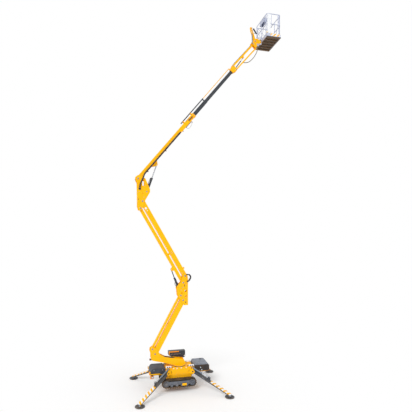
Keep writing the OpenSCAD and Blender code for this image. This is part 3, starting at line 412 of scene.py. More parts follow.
# The conduit's bundle hangs from the boom and goes into the near plate of the upper knuckle
BUNDLE_R = 0.032
CONDUIT_Y = -0.085 - 0.034 - 0.006
boom_m = place(boom_pin, BOOM_A)
near_plate = place((0, 0), 0.0, -0.162)
conduit_start = boom_m @ Vector((0.42, CONDUIT_Y, -0.091))
grommet = near_plate @ Vector((-1.862, 0.004, 9.39))
hose("bundle_hose", "hose", BUNDLE_R,
     [conduit_start, boom_m @ Vector((0.34, CONDUIT_Y - 0.010, -0.104)), near_plate @ Vector((-1.690, 0.008, 9.935)),
      near_plate @ Vector((-1.745, 0, 9.800)), near_plate @ Vector((-1.815, 0, 9.660)),
      near_plate @ Vector((-1.855, 0, 9.520)), grommet],
     bend=("top_knuckle", "boom_outer", near_plate @ Vector((-1.855, 0, 9.52)), conduit_start))

# One hose hangs from the lower jib bar to the knuckle at its end
JIB_HOSE_R = 0.016
jib_m = place(jib_pin, JIB_A)
jib_hose = [(0.600, -0.030, -0.052), (0.665, -0.045, -0.125), (0.790, -0.060, -0.200), (0.990, -0.075, -0.232),
            (1.200, -0.088, -0.222), (1.400, -0.098, -0.180), (1.560, -0.102, -0.115), (1.700, -0.102, -0.020)]
hose("jib_hose", "old_hose", JIB_HOSE_R, at(jib_m, jib_hose),
     bend=("jib_lower", "jib_knuckle", jib_m @ Vector((1.35, 0, 0)), jib_m @ Vector((1.66, 0, 0))))

# A thin cable sags between two stubs under the boom
hose("boom_cable", "hose", 0.005,
     at(boom_m, [(3.406, -0.075, -0.181), (3.413, -0.076, -0.215), (3.436, -0.078, -0.244), (3.472, -0.080, -0.263),
                 (3.540, -0.080, -0.272), (3.660, -0.078, -0.255), (3.776, -0.075, -0.206)]), "boom_outer")


# Pins: cap, grease nipple and bolted keeper on both sides
def pins(name, body, places, out, r=0.036):
    k = Build(name, body, ["steel", "black"])
    for p, turn in places:
        for s in (-1, 1):
            c = Vector((p[0] + SX, s * out, p[1]))
            n = Vector((0, s, 0))
            k.look = 0
            k.lathe(c, c + n, [(0, r), (0.005, r), (0.008, r - 0.004), (0.0085, 0.011), (0.012, 0.010)], 28)
            k.lathe(c, c + n, [(0.012, 0.004), (0.02, 0.004), (0.023, 0.002)], 10)
            d = Vector((math.cos(math.radians(turn)), 0, math.sin(math.radians(turn))))
            e = Vector((-d[2], 0, d[0]))
            for w in (-0.022, 0.022):
                k.bolt(c + d * (r + 0.018) + e * w - n * 0.012, n, 0.007, 0.008)
    return k.done()


pins("turret_pins", "turret", [(foot_pin, 150), (foot_tie, 30)], 0.131)
pins("mid_knuckle_pins", "mid_knuckle",
     [(lower_top, 60), (lower_tie_top, 20), (upper_foot, -60), (upper_tie_foot, -10)], 0.131)
pins("top_knuckle_pins", "top_knuckle", [(upper_top, 60), (upper_tie_top, 100), (boom_pin, -90)], 0.131)

# Outriggers: striped covers over the outer half, bolts, a clipped hard pipe, the foot's stem and ribbed pad
LEGS = [(-1, -1), (1, -1), (-1, 1), (1, 1)]
DX, DY = 2.0 - 0.62, 1.525 - 0.42
LU = math.hypot(DX, DY)
LEG_A = math.degrees(math.atan2(0.055 + 0.062 - 0.88, LU))
LEG_LEN = math.hypot(LU, 0.88 - 0.117)


def leg_matrix(i, a=0.0, p=(0.0, 0.0)):
    """Leg plane: X outward and along at angle a, Y across, from point p beside the hinge."""
    sx, sy = LEGS[i]
    az = math.atan2(sy * DY, sx * DX)
    base = Matrix.Translation((sx * 0.62 + SX, sy * 0.42, 0.88)) @ Matrix.Rotation(az, 4, "Z")
    return base @ Matrix.Translation((p[0], 0, p[1])) @ Matrix.Rotation(-math.radians(a), 4, "Y")


COVER_S0, COVER_S1 = 0.941, LEG_LEN + 0.059
COVER_HALF, COVER_SKIRT, SKIN = 0.073, 0.038, 0.0015
BANDS, BAND_LEAN = 12, 0.085


def cover_top(s):
    """Height of the cover's upper face at s along the leg."""
    def edge(q):
        return 0.065 - (q - 0.2) * 0.023 / (LEG_LEN - 0.24) + 0.003
    t = (s - 0.94) / (LEG_LEN + 0.06 - 0.94)
    return edge(0.94) + (edge(LEG_LEN) - edge(0.94)) * t


for i in range(4):
    k = Build("leg_trim_%d" % (i + 1), "leg_%d" % (i + 1), ["yellow_low", "white", "steel", "black"])
    k.m = leg_matrix(i, LEG_A)
    # Painted bands, slanting across the cover's top and down both of its skirts
    pitch = (COVER_S1 - COVER_S0 + BAND_LEAN) / BANDS
    for j in range(BANDS):
        k.look = j % 2
        raw = [COVER_S0 - BAND_LEAN + pitch * (j + q) for q in (0, 1)]
        near = [min(max(s, COVER_S0), COVER_S1) for s in raw]
        far = [min(max(s + BAND_LEAN, COVER_S0), COVER_S1) for s in raw]
        if near[1] - near[0] > 0.002 or far[1] - far[0] > 0.002:
            k.sheet([(near[0], -COVER_HALF, cover_top(near[0]) + SKIN), (near[1], -COVER_HALF, cover_top(near[1]) + SKIN),
                     (far[1], COVER_HALF, cover_top(far[1]) + SKIN), (far[0], COVER_HALF, cover_top(far[0]) + SKIN)],
                    (0, 0, -SKIN * 0.9))
        for side, (a, b) in ((-1, near), (1, far)):
            if b - a > 0.002:
                y = side * (COVER_HALF + SKIN)
                b_low = min(b, COVER_S1 - 0.03)
                a_low = min(a, COVER_S1 - 0.031)
                k.sheet([(a, y, cover_top(a) + SKIN), (b, y, cover_top(b) + SKIN),
                         (b_low, y, cover_top(b) - 0.004 - COVER_SKIRT), (a_low, y, cover_top(a) - 0.004 - COVER_SKIRT)],
                        (0, -side * SKIN * 0.9, 0))
    k.look = 2
    for s in (1.0, 1.25, 1.5, 1.75):
        for side in (-1, 1):
            k.bolt((s, side * (COVER_HALF + SKIN), cover_top(s) - 0.022), (0, side, 0), 0.006, 0.005)
    # Heads of the ankle pin
    for side in (-1, 1):
        k.bolt((LEG_LEN, side * 0.055, -0.016), (0, side, 0), 0.014, 0.010)
    # Hard pipe clipped along the near side of the beam
    k.tube([(0.42, -0.061, 0.0), (0.6, -0.061, -0.004), (0.8, -0.061, -0.006), (0.93, -0.060, -0.004)], 0.005, 10)
    k.look = 3
    for s in (0.46, 0.66, 0.86):
        k.box((s, -0.068, -0.016), (s + 0.016, -0.055, 0.008), 0.002)
    k.done()
    k = Build("leg_foot_%d" % (i + 1), "leg_%d" % (i + 1), ["chrome", "black", "steel", "rubber"])
    sx, sy = LEGS[i]
    c = Vector((sx * 2.0 + SX, sy * 1.525, 0))
    up = Vector((0, 0, 1))
    k.lathe(c + up * 0.052, c + up, [(0, 0.062), (0.01, 0.06), (0.022, 0.045), (0.04, 0.036), (0.055, 0.034)], 28)
    k.look = 1
    for j in range(8):
        w = math.radians(45 * j)
        d = Vector((math.cos(w), math.sin(w), 0))
        e = Vector((-d[1], d[0], 0)) * 0.004
        a, b = c + d * 0.055, c + d * 0.165
        k.add([a - e + up * 0.034, b - e + up * 0.03, b - e + up * 0.035, a - e + up * 0.052,
               a + e + up * 0.034, b + e + up * 0.03, b + e + up * 0.035, a + e + up * 0.052],
              [[0, 1, 2, 3], [7, 6, 5, 4], [0, 4, 5, 1], [2, 6, 7, 3], [1, 5, 6, 2], [3, 7, 4, 0]])
    k.done()

# Tracks: hub bolts, roller caps, tension cover and a bare plate
TX, TZ, TG = -0.07, 0.415, 0.44
k = Build("track_trim", "chassis", ["grey", "steel", "black", "yellow_low", "rubber"])
for s in (-1, 1):
    n = Vector((0, s, 0))
    for e in (-1, 1):
        c = Vector((TX + SX + e * 0.62, s * (TG + 0.105), TZ))
        k.look = 0
        k.lathe(c, c + n, [(0, 0.058), (0.006, 0.056), (0.009, 0.03), (0.016, 0.026)], 28)
        k.look = 1
        for j in range(8):
            w = math.radians(45 * j + 22.5)
            k.bolt(c + Vector((0.046 * math.cos(w), 0, 0.046 * math.sin(w))), n, 0.005, 0.005)
            k.bolt(Vector((c[0] + 0.1 * math.cos(w), s * (TG + 0.055), TZ + 0.1 * math.sin(w))), n, 0.009, 0.007)
    for x in (-0.36, -0.12, 0.12, 0.36):
        c = Vector((TX + SX + x, s * (TG + 0.085), TZ - 0.0877))
        k.look = 0
        k.lathe(c, c + n, [(0, 0.05), (0.004, 0.048), (0.006, 0.024), (0.013, 0.02)], 24)
        k.look = 1
        k.bolt(c + n * 0.013, n, 0.008, 0.007)
    y = s * (TG + 0.065)
    lo, hi = min(y, y + s * 0.006), max(y, y + s * 0.006)
    k.look = 0
    k.box((TX + SX - 0.34, lo, TZ + 0.0), (TX + SX + 0.02, hi, TZ + 0.07), 0.003)
    # Bare plate on a stand-off, before the gap between two rollers
    px, pz, out = SX + 0.160, 0.355, TG + 0.105
    k.rod((px, s * (TG + 0.063), pz + 0.02), (px, s * (out + 0.001), pz + 0.02), 0.012, 14)
    k.look = 3
    k.box((px - 0.102, min(s * out, s * (out + 0.004)), pz - 0.052),
          (px + 0.102, max(s * out, s * (out + 0.004)), pz + 0.052), 0.0015)
    k.look = 1
    for x in (-0.32, -0.16, 0.0):
        k.bolt((TX + SX + x, y + s * 0.006, TZ + 0.035), n, 0.007, 0.006)
k.done()

# Chassis: side panels with seams, handles and bolts; fittings and pipes on the deck
k = Build("chassis_trim", "chassis", ["yellow_low", "steel", "black", "hose", "chrome", "amber", "white"])
for s in (-1, 1):
    n = Vector((0, s, 0))
    y = s * 0.32
    lo, hi = min(y, y + s * 0.008), max(y, y + s * 0.008)
    k.look = 0
    k.box((SX - 0.56, lo, 0.745), (SX + 0.56, hi, 1.015), 0.003)
    k.look = 2
    for x in (-0.5, 0.5):
        k.box((SX + x - 0.004, min(lo, lo + s * 0.0006), 0.75), (SX + x + 0.004, hi + 0.0006, 1.01), 0.001)
    k.look = 1
    for x in (-0.53, -0.18, 0.18, 0.53):
        for z in (0.765, 0.995):
            k.bolt((SX + x, y + s * 0.008, z), n, 0.007, 0.006)
    k.look = 2
    for x in (-0.42, 0.42):
        a = Vector((SX + x, y + s * 0.008, 0.84))
        k.tube([a, a + n * 0.035, a + n * 0.04 + Vector((0, 0, 0.02)), a + n * 0.04 + Vector((0, 0, 0.08)),
                a + n * 0.035 + Vector((0, 0, 0.1)), a + Vector((0, 0, 0.1))], 0.006, 8)
# White housings on the deck's corners, each with two dark sockets, and elbows of the pipes beside them
for sx in (-1, 1):
    for sy in (-1, 1):
        lo, hi = sorted((sx * 0.41, sx * 0.675))
        k.look = 6
        k.box((SX + lo, min(sy * 0.262, sy * 0.318), 1.069), (SX + hi, max(sy * 0.262, sy * 0.318), 1.150), 0.014)
        k.look = 2
        for x in (0.49, 0.59):
            a = Vector((SX + sx * x, sy * 0.3165, 1.112))
            k.lathe(a, a + Vector((0, sy, 0)), [(0, 0.029), (0.003, 0.028), (0.0035, 0.02)], 20)
        for j in range(3):
            y = sy * (0.272 + 0.018 * j)
            k.tube([(SX + sx * 0.412, y, 1.108), (SX + sx * 0.375, y, 1.106), (SX + sx * 0.352, y, 1.092),
                    (SX + sx * 0.346, y, 1.068)], 0.007, 8)
# Small white lugs along the panel's upper edge
for s in (-1, 1):
    for x in (-0.311, -0.146, 0.057, 0.292):
        k.look = 6
        k.box((SX + x - 0.026, min(s * 0.326, s * 0.338), 1.022), (SX + x + 0.026, max(s * 0.326, s * 0.338), 1.064), 0.004)
        k.look = 5
        k.bolt((SX + x, s * 0.338, 1.043), (0, s, 0), 0.007, 0.004)
k.done()

# Engine canopy: dark side panels with louvres, two lamps and a step at its end
ENGINE_X0, ENGINE_X1, ENGINE_Z0, ENGINE_Z1 = SX + 0.691, SX + 1.421, 0.83, 1.20
k = Build("canopy_trim", "chassis", ["brown_cover", "lens", "steel", "brown", "black"])
for s in (-1, 1):
    n = Vector((0, s, 0))
    y0, y1 = sorted((s * 0.3295, s * 0.334))
    k.look = 0
    k.prism([(ENGINE_X0 + 0.012, ENGINE_Z0 + 0.008), (ENGINE_X1 - 0.01, ENGINE_Z0 + 0.008),
             (ENGINE_X1 - 0.01, ENGINE_Z1 - 0.14), (ENGINE_X1 - 0.06, ENGINE_Z1 - 0.085),
             (ENGINE_X0 + 0.012, ENGINE_Z1 - 0.085)], y0, y1)
    k.look = 4
    for j in range(7):
        z = ENGINE_Z0 + 0.06 + 0.028 * j
        if abs(z - 0.994) > 0.001:
            k.box((ENGINE_X0 + 0.46, min(s * 0.333, s * 0.339), z), (ENGINE_X1 - 0.06, max(s * 0.333, s * 0.339), z + 0.012), 0.002)
    for x, z in ((0.985, 0.994), (1.04, 0.880)):
        a = Vector((SX + x, s * 0.333, z))
        k.look = 4
        k.lathe(a, a + n, [(0, 0.036), (0.014, 0.034), (0.018, 0.028)], 24)
        k.look = 1
        k.lathe(a + n * 0.017, a + n, [(0, 0.027), (0.004, 0.024), (0.008, 0.014)], 24)
    k.look = 2
    for x in (ENGINE_X0 + 0.035, ENGINE_X0 + 0.24, ENGINE_X1 - 0.035):
        k.bolt((x, s * 0.334, ENGINE_Z0 + 0.03), n, 0.007, 0.005)
k.look = 3
k.box((ENGINE_X1 - 0.17, -0.345, ENGINE_Z0 - 0.026), (ENGINE_X1 + 0.05, -0.235, ENGINE_Z0 - 0.001), 0.006)
# Hinges and a filler cap on the lid
k.look = 4
for y in (-0.2, 0.2):
    k.rod((ENGINE_X0 + 0.06, y - 0.04, ENGINE_Z1 + 0.001), (ENGINE_X0 + 0.06, y + 0.04, ENGINE_Z1 + 0.001), 0.009, 12)
k.lathe((ENGINE_X0 + 0.42, 0.2, ENGINE_Z1 - 0.001), (ENGINE_X0 + 0.42, 0.2, 2), [(0, 0.045), (0.012, 0.045), (0.02, 0.036), (0.03, 0.032)], 24)
k.done()

# Rear locker: lid seam, bumper pipe with a rising end, and a lamp box under its corner
LOCKER_X0, LOCKER_X1 = SX - 1.391, SX - 0.691
k = Build("locker_trim", "chassis", ["yellow_low", "amber", "lens", "black", "steel"])
for s in (-1, 1):
    y = s * 0.352
    k.look = 0
    k.tube([(LOCKER_X1 - 0.26, s * 0.336, 0.852), (LOCKER_X1 - 0.30, y, 0.852), (LOCKER_X1 - 0.45, y, 0.852),
            (LOCKER_X0 + 0.06, y, 0.852), (LOCKER_X0 - 0.012, y, 0.862), (LOCKER_X0 - 0.024, y, 0.905),
            (LOCKER_X0 - 0.024, y, 0.955), (LOCKER_X0 - 0.024, y, 0.985)], 0.019, 14)
    k.look = 3
    for x in (LOCKER_X0 + 0.12, LOCKER_X1 - 0.36):
        k.box((x, min(s * 0.329, y), 0.838), (x + 0.03, max(s * 0.329, y), 0.866), 0.003)
    k.look = 3
    k.box((LOCKER_X0 + 0.07, min(s * 0.329, s * 0.333), 1.034), (LOCKER_X1 - 0.01, max(s * 0.329, s * 0.333), 1.042), 0.001)
    k.look = 4
    for x in (LOCKER_X0 + 0.16, LOCKER_X1 - 0.14):
        k.box((x - 0.02, min(s * 0.329, s * 0.345), 1.0), (x + 0.02, max(s * 0.329, s * 0.345), 1.05), 0.004)
    # Lamp box
    ya, yb = sorted((s * 0.17, s * 0.31))
    k.look = 1
    k.box((LOCKER_X0 + 0.0, ya, 0.625), (LOCKER_X0 + 0.15, yb, 0.765), 0.012)
    k.look = 3
    k.box((LOCKER_X0 + 0.03, ya + 0.03, 0.76), (LOCKER_X0 + 0.12, yb - 0.03, 0.832), 0.003)
    a = Vector((LOCKER_X0 + 0.085, s * 0.309, 0.70))
    n = Vector((0, s, 0))
    k.lathe(a, a + n, [(0, 0.05), (0.012, 0.048), (0.014, 0.04)], 24)
    k.look = 2
    k.lathe(a + n * 0.013, a + n, [(0, 0.039), (0.004, 0.036), (0.008, 0.02)], 24)
k.done()

# Pins of the leg brackets
for i in range(4):
    k = Build("bracket_pins_%d" % (i + 1), "chassis", ["black", "steel"])
    k.m = leg_matrix(i)
    for p, r in (((0, 0), 0.034), ((-0.07, 0.16), 0.027)):
        for s in (-1, 1):
            a = Vector((p[0], s * 0.074, p[1]))
            n = Vector((0, s, 0))
            k.look = 0
            k.lathe(a, a + n, [(0, r), (0.006, r), (0.009, r - 0.005), (0.0095, 0.01), (0.013, 0.009)], 24)
            k.look = 1
            for w in (-1, 1):
                k.bolt(a + Vector((w * (r + 0.014), 0, 0.0)), n, 0.005, 0.005)
    k.done()

# Teeth of the slewing ring
k = Build("slew_teeth", "chassis", ["steel", "black"])
for j in range(84):
    w = 2 * math.pi * j / 84
    d = Vector((math.cos(w), math.sin(w), 0))
    e = Vector((-d[1], d[0], 0))
    c = Vector((SX, 0, 1.078))
    v = []
    for z in (0, 0.026):
        up = Vector((0, 0, z))
        v += [c + d * 0.299 - e * 0.0085 + up, c + d * 0.299 + e * 0.0085 + up,
              c + d * 0.311 + e * 0.004 + up, c + d * 0.311 - e * 0.004 + up]
    k.add(v, [[0, 1, 2, 3], [7, 6, 5, 4], [0, 4, 5, 1], [1, 5, 6, 2], [2, 6, 7, 3], [3, 7, 4, 0]])
k.done()

# Turret: pipes along the arm's tray, tail lamp and ring bolts
k = Build("turret_trim", "turret", ["hose", "steel", "brown", "lens", "black"])
for j in range(5):
    y = -0.06 + 0.03 * j
    k.look = 0
    k.tube([(SX - 0.02, y * 0.6, 1.16), (SX - 0.10, y, 1.30), (SX - 0.26, y, 1.43), (SX - 0.5, y, 1.478),
            (SX - 0.74, y, 1.532), (SX - 0.86, y, 1.562), (SX - 0.96, y, 1.562)], 0.0105, 10)
k.look = 4
for x, z in ((-0.38, 1.446), (-0.62, 1.494)):
    k.box((SX + x - 0.015, -0.107, z - 0.006), (SX + x + 0.015, 0.107, z + 0.003), 0.002)
k.box((SX - 0.972, -0.107, 1.548), (SX - 0.950, 0.107, 1.576), 0.003)
for j in range(24):
    w = 2 * math.pi * (j + 0.5) / 24
    k.look = 1
    if abs(0.292 * math.sin(w)) > 0.135:
        k.bolt((SX + 0.292 * math.cos(w), 0.292 * math.sin(w), 1.1323), (0, 0, 1), 0.009, 0.01)
k.look = 2
k.box((SX - 1.40, -0.05, 1.40), (SX - 1.30, 0.05, 1.46), 0.006)
k.look = 3
k.lathe((SX - 1.40, 0, 1.43), (SX - 1.5, 0, 1.43), [(0, 0.026), (0.008, 0.026), (0.014, 0.018)], 20)
k.done()

# Rack of valves: amber rim, slanting pipes on its near wall, levers and hoses on the far side
RACK_X0, RACK_X1, RACK_Y0, RACK_TOP = SX - 0.465, SX + 0.345, 0.119, 1.70
k = Build("rack_trim", "turret", ["amber", "brown", "black", "steel", "white", "old_hose", "red"])
k.box((RACK_X0, RACK_Y0 - 0.010, RACK_TOP - 0.052), (RACK_X0 + 0.50, RACK_Y0 + 0.001, RACK_TOP - 0.006), 0.003)
k.box((RACK_X0 + 0.01, RACK_Y0 - 0.010, RACK_TOP - 0.165), (RACK_X0 + 0.045, RACK_Y0 + 0.001, RACK_TOP - 0.053), 0.003)
for j in range(6):
    a = RACK_X0 + 0.10 + 0.075 * j
    k.look = (1, 5)[j % 2]
    k.tube([(a, RACK_Y0 - 0.007, 1.490), (a + 0.03, RACK_Y0 - 0.008, 1.530), (a + 0.075, RACK_Y0 - 0.008, 1.590),
            (a + 0.095, RACK_Y0 - 0.007, 1.625)], 0.0065, 8)
k.look = 3
k.box((RACK_X0 + 0.08, RACK_Y0 - 0.012, 1.548), (RACK_X0 + 0.60, RACK_Y0 + 0.001, 1.562), 0.002)
k.look = 4
k.lathe((RACK_X1 - 0.045, RACK_Y0 + 0.001, 1.455), (RACK_X1 - 0.045, 0, 1.455),
        [(0, 0.026), (0.012, 0.03), (0.026, 0.026), (0.032, 0.012)], 20)
for i in range(6):
    x = RACK_X0 + 0.312 + 0.060 * i
    k.look = 3
    k.rod((x, RACK_Y0 + 0.094, 1.625), (x, RACK_Y0 + 0.100, 1.625), 0.014, 16)
    k.rod((x, RACK_Y0 + 0.098, 1.625), (x, RACK_Y0 + 0.172, 1.660), 0.005, 10)
    k.look = 6 if i == 5 else 2
    k.lathe((x, RACK_Y0 + 0.165, 1.656), (x, RACK_Y0 + 0.265, 1.704), [(0, 0.006), (0.006, 0.012), (0.018, 0.013), (0.026, 0.006)], 14)
    k.look = 5
    k.tube([(x, RACK_Y0 + 0.06, 1.552), (x, RACK_Y0 + 0.06, 1.520), (x + 0.01, RACK_Y0 + 0.05, 1.470),
            (x + 0.01, RACK_Y0 + 0.03, 1.430), (x + 0.01, RACK_Y0 + 0.005, 1.415)], 0.009, 10)
k.done()

# Middle knuckle: clamps of the hose loop, a black sheet and a black disc painted as the shade in a slot and in a hole,
# bolts on both plates
PLATE = 0.119
k = Build("mid_knuckle_trim", "mid_knuckle", ["black", "steel"])
for x, z in ((0.372, 5.388), (0.388, 5.050)):
    k.box((SX + x - 0.026, -0.222, z - 0.026), (SX + x + 0.026, -PLATE + 0.001, z + 0.024), 0.005)
# Black sheet on the near plate: painted shade where the inside of a slot looks dark
k.prism([(SX + 0.246, 4.795), (SX + 0.272, 4.795), (SX + 0.278, 4.905), (SX + 0.244, 4.905)], -PLATE - 0.002, -PLATE + 0.001)
# Black disc in the near plate's hole: painted shade of the hole's dark inside
k.lathe((SX + lower_top[0] + 0.127, -PLATE + 0.010, lower_top[1] - 0.095), (SX + lower_top[0] + 0.127, -1, lower_top[1] - 0.095),
        [(0, 0.0315), (0.011, 0.0315), (0.013, 0.024)], 24)
k.look = 1
for x, z, r in ((0.165, 4.761, 0.017), (0.087, 4.659, 0.014), (0.121, 4.378, 0.014), (0.330, 4.30, 0.010), (0.330, 4.90, 0.010)):
    for s in (-1, 1):
        k.bolt((SX + x, s * PLATE, z), (0, s, 0), r, r * 0.6)
k.done()

# Upper knuckle: a black sheet painted as the shade in a slot, bolts and the grommet of the hose bundle
k = Build("top_knuckle_trim", "top_knuckle", ["black", "steel", "amber"])
# Black sheet on the near plate: painted shade where the inside of a slot looks dark
k.prism([(SX - 1.940, 8.862), (SX - 1.918, 8.862), (SX - 1.914, 8.938), (SX - 1.936, 8.938)], -PLATE - 0.002, -PLATE + 0.001)
k.lathe((grommet[0], -PLATE + 0.001, grommet[2] - 0.004), (grommet[0], -1, grommet[2] - 0.004),
        [(0, 0.056), (0.008, 0.054), (0.014, 0.044), (0.040, 0.040)], 24)
k.look = 1
for x, z, r in ((-1.536, 9.262, 0.020), (-1.66, 9.0, 0.012), (-1.60, 9.55, 0.012), (-1.90, 9.25, 0.012)):
    for s in (-1, 1):
        k.bolt((SX + x, s * PLATE, z), (0, s, 0), r, r * 0.6)
k.look = 2
for s in (-1, 1):
    k.bolt((SX - 1.730, s * PLATE, 9.182), (0, s, 0), 0.018, 0.010)
k.done()

# Upper riser: white caps on its near side and bolts of the guide
k = Build("upper_riser_trim", "upper_riser", ["white", "steel", "yellow"])
k.m = place(upper_foot, UPPER_A)
for s, h, r in ((3.67, 0.027, 0.050), (3.544, 0.020, 0.020)):
    k.look = 0
    k.lathe((s, -0.0995, h), (s, -1, h), [(0, r), (0.0035, r - 0.001), (0.005, r - 0.006)], 28)
k.look = 1
for h in (-0.02, 0.05):
    for s in (1.25, 1.31):
        k.bolt((s, -0.108, h), (0, -1, 0), 0.009, 0.007)
for s, h in ((0.178, 0.060), (3.86, 0.060)):
    k.bolt((s, -0.100, h), (0, -1, 0), 0.0125, 0.006)
k.done()

# Boom cylinder: valve block and pipes beside its barrel
cyl_head = boom_pin + step(BOOM_A, 1.080, -0.242) - boom_cyl_foot
CYL_A = math.degrees(math.atan2(cyl_head[1], cyl_head[0]))
k = Build("boom_barrel_trim", "boom_barrel", ["black", "steel"])
k.m = place(boom_cyl_foot, CYL_A)
k.box((0.12, -0.030, 0.040), (0.34, 0.030, 0.092), 0.006)
k.box((0.56, -0.024, 0.045), (0.64, 0.024, 0.080), 0.005)
for y in (-0.016, 0.016):
    k.tube([(0.33, y, 0.072), (0.40, y, 0.078), (0.50, y, 0.076), (0.575, y, 0.066)], 0.012, 10)
k.tube([(0.13, 0.0, 0.070), (0.06, 0.0, 0.072), (-0.06, 0.0, 0.066), (-0.14, 0.0, 0.050)], 0.009, 10)
k.look = 1
for s in (0.15, 0.31):
    for y in (-0.018, 0.018):
        k.bolt((s, y, 0.092), (0, 0, 1), 0.006, 0.006)
k.done()

# Upper riser's cylinder: block and pipes on the side of the tie, and a brown guard on the other
cyl_head = upper_tie_foot + step(UPPER_A, 0.800, 0.166) - upper_cyl_foot
CYL_A = math.degrees(math.atan2(cyl_head[1], cyl_head[0]))
k = Build("upper_barrel_trim", "upper_barrel", ["black", "steel", "old_hose"])
k.m = place(upper_cyl_foot, CYL_A)
k.box((0.05, -0.036, -0.070), (0.22, 0.036, -0.034), 0.006)
k.box((0.36, -0.032, -0.054), (0.43, 0.032, -0.036), 0.004)
for y in (-0.018, 0.018):
    k.tube([(0.21, y, -0.052), (0.26, y, -0.053), (0.32, y, -0.050), (0.38, y, -0.046)], 0.008, 10)
k.look = 1
for s in (0.08, 0.19):
    for y in (-0.037, 0.037):
        k.bolt((s, y, -0.052), (0, y, 0), 0.006, 0.006)
k.look = 2
k.tube([(0.06, 0.0, 0.034), (0.08, 0.0, 0.062), (0.14, 0.0, 0.078), (0.22, 0.0, 0.070), (0.25, 0.0, 0.034)], 0.012, 10)
k.done()

# Boom: collar screws, wear pads, knob and the thin cable beside the bundle
k = Build("boom_outer_trim", "boom_outer", ["steel", "brown", "amber", "black"])
k.m = place(boom_pin, BOOM_A)
top, bot, side = -0.025 + 0.112, -0.025 - 0.112, 0.097
for x in (4.095, 4.14):
    for y in (-0.06, 0.0, 0.06):
        k.look = 0
        k.bolt((x, y, top), (0, 0, 1), 0.007, 0.006)
        k.bolt((x, y, bot), (0, 0, -1), 0.007, 0.006)
    for z in (-0.08, -0.025, 0.03):
        k.bolt((x, -side, z), (0, -1, 0), 0.007, 0.006)
        k.bolt((x, side, z), (0, 1, 0), 0.007, 0.006)
k.look = 1
for s in (-1, 1):
    y = s * 0.085
    k.box((3.72, min(y, y + s * 0.004), -0.06), (4.02, max(y, y + s * 0.004), 0.01), 0.002)
# Tabs under the conduit, the black bar with its two stubs, and the knob
for s, y, h in ((0.535, CONDUIT_Y, -0.129), (1.85, CONDUIT_Y, -0.129), (3.158, -0.06, -0.125)):
    k.prism([(s - 0.03, h), (s + 0.03, h), (s + 0.02, h - 0.05)], y - 0.02, y + 0.02)
k.look = 3
k.box((3.383, -0.095, -0.150), (3.774, -0.055, -0.124), 0.004)
k.rod((3.406, -0.075, -0.148), (3.406, -0.075, -0.184), 0.009, 12)
k.prism([(3.60, 0.040), (3.868, 0.040), (3.868, 0.056), (3.60, 0.056)], -0.0875, -0.0845)
k.look = 1
k.rod((3.796, -0.075, -0.124), (3.796, -0.075, -0.172), 0.010, 12)
k.lathe((3.796, -0.075, -0.168), (3.796, -0.075, -1), [(0, 0.014), (0.010, 0.026), (0.026, 0.028), (0.040, 0.014)], 18)
k.look = 2
k.lathe((3.95, -0.096, -0.10), (3.95, -0.3, -0.10), [(0, 0.012), (0.03, 0.022), (0.05, 0.024), (0.06, 0.014)], 16)
k.done()

# Rim screws of the boom head and the jib knuckle
pins("boom_head_pins", "boom_inner", [(jib_pin, 60), (jib_up_pin, 120)], 0.088, 0.026)
pins("jib_knuckle_pins", "jib_knuckle", [(jib_end, -60), (jib_up_end, 200), (level_pin, 60)], 0.083, 0.026)

# Jib: pipes along the upper bar, and the clamps of the free hose
k = Build("jib_pipes", "jib_upper", ["hose", "black"])
k.m = place(jib_up_pin, JIB_A)
for j in range(3):
    k.look = 0
    y = -0.02 + 0.02 * j
    k.tube([(0.1, y, 0.050), (0.3, y, 0.050), (0.8, y, 0.050), (1.3, y, 0.050), (1.52, y, 0.050)], 0.009, 10)
k.look = 1
for x in (0.2, 0.6, 1.0, 1.4):
    k.box((x, -0.036, 0.039), (x + 0.02, 0.036, 0.063), 0.002)
k.done()
k = Build("jib_hose_clamp", "jib_lower", ["black"])
k.m = jib_m
k.box((0.570, -0.046, -0.052), (0.615, -0.012, -0.0325), 0.004)
k.done()
k = Build("jib_hose_end", "jib_knuckle", ["black"])
k.m = jib_m
k.lathe((1.672, -0.102, -0.042), (1.715, -0.102, -0.006), [(0, 0.020), (0.03, 0.022), (0.05, 0.022), (0.056, 0.014)], 16)
k.box((1.662, -0.104, -0.030), (1.692, -0.0775, 0.002), 0.003)
k.done()

# Mast of the basket's arm: blue cylinder beside it on two brackets, and a ring on the turning boss
k = Build("mast_trim", "basket_arm", ["blue", "steel", "black"])
mast_top = place() @ Vector((level_pin[0] - 0.070, 0, level_pin[1] + 0.665))
mast_low = place() @ Vector((level_pin[0] + 0.105, 0, level_pin[1] + 0.420))
mast_len = (mast_low - mast_top).length
k.lathe(mast_top, mast_low, [(0, 0.024), (0.01, 0.034), (mast_len - 0.05, 0.034), (mast_len - 0.045, 0.038),
                             (mast_len - 0.01, 0.038), (mast_len, 0.026)], 24)
k.look = 1
along = (mast_low - mast_top).normalized()
side = Vector((along[2], 0, -along[0]))
for t in (0.06, 0.22):
    q = mast_top + along * t
    k.rod(q + side * 0.02, q + side * 0.115, 0.012, 14)
k.look = 2
turn = Vector((turn_x + SX, 0, floor_z + 0.085))
k.lathe(turn, turn + Vector((0, 0, 1)), [(0, 0.0465), (0.004, 0.0485), (0.030, 0.0485), (0.034, 0.0465)], 28)
k.done()

# Basket: braces, toe-board stripes, floor tread, controls, lamp and tether eyes
bx0, bx1 = basket_rear + 0.017 + SX, basket_rear + 0.76 - 0.017 + SX
by, top = 0.613, floor_z + 1.1
k = Build("basket_trim", "basket", ["alloy", "yellow", "white", "black", "steel", "lamp", "red", "deck", "deck_rib"])
for x in (bx0, bx1):
    for s in (-1, 1):
        k.look = 0
        k.tube([(x, s * 0.04, floor_z + 0.2), (x, s * 0.28, floor_z + 0.62), (x, s * 0.5, top - 0.02)], 0.010, 10)
for z0, z1 in ((floor_z + 0.16, floor_z + 0.6), (floor_z + 0.62, top - 0.02)):
    k.tube([(bx1 - 0.1, by, z0), (0.5 * (bx0 + bx1), by, 0.5 * (z0 + z1)), (bx0 + 0.1, by, z1)], 0.009, 10)
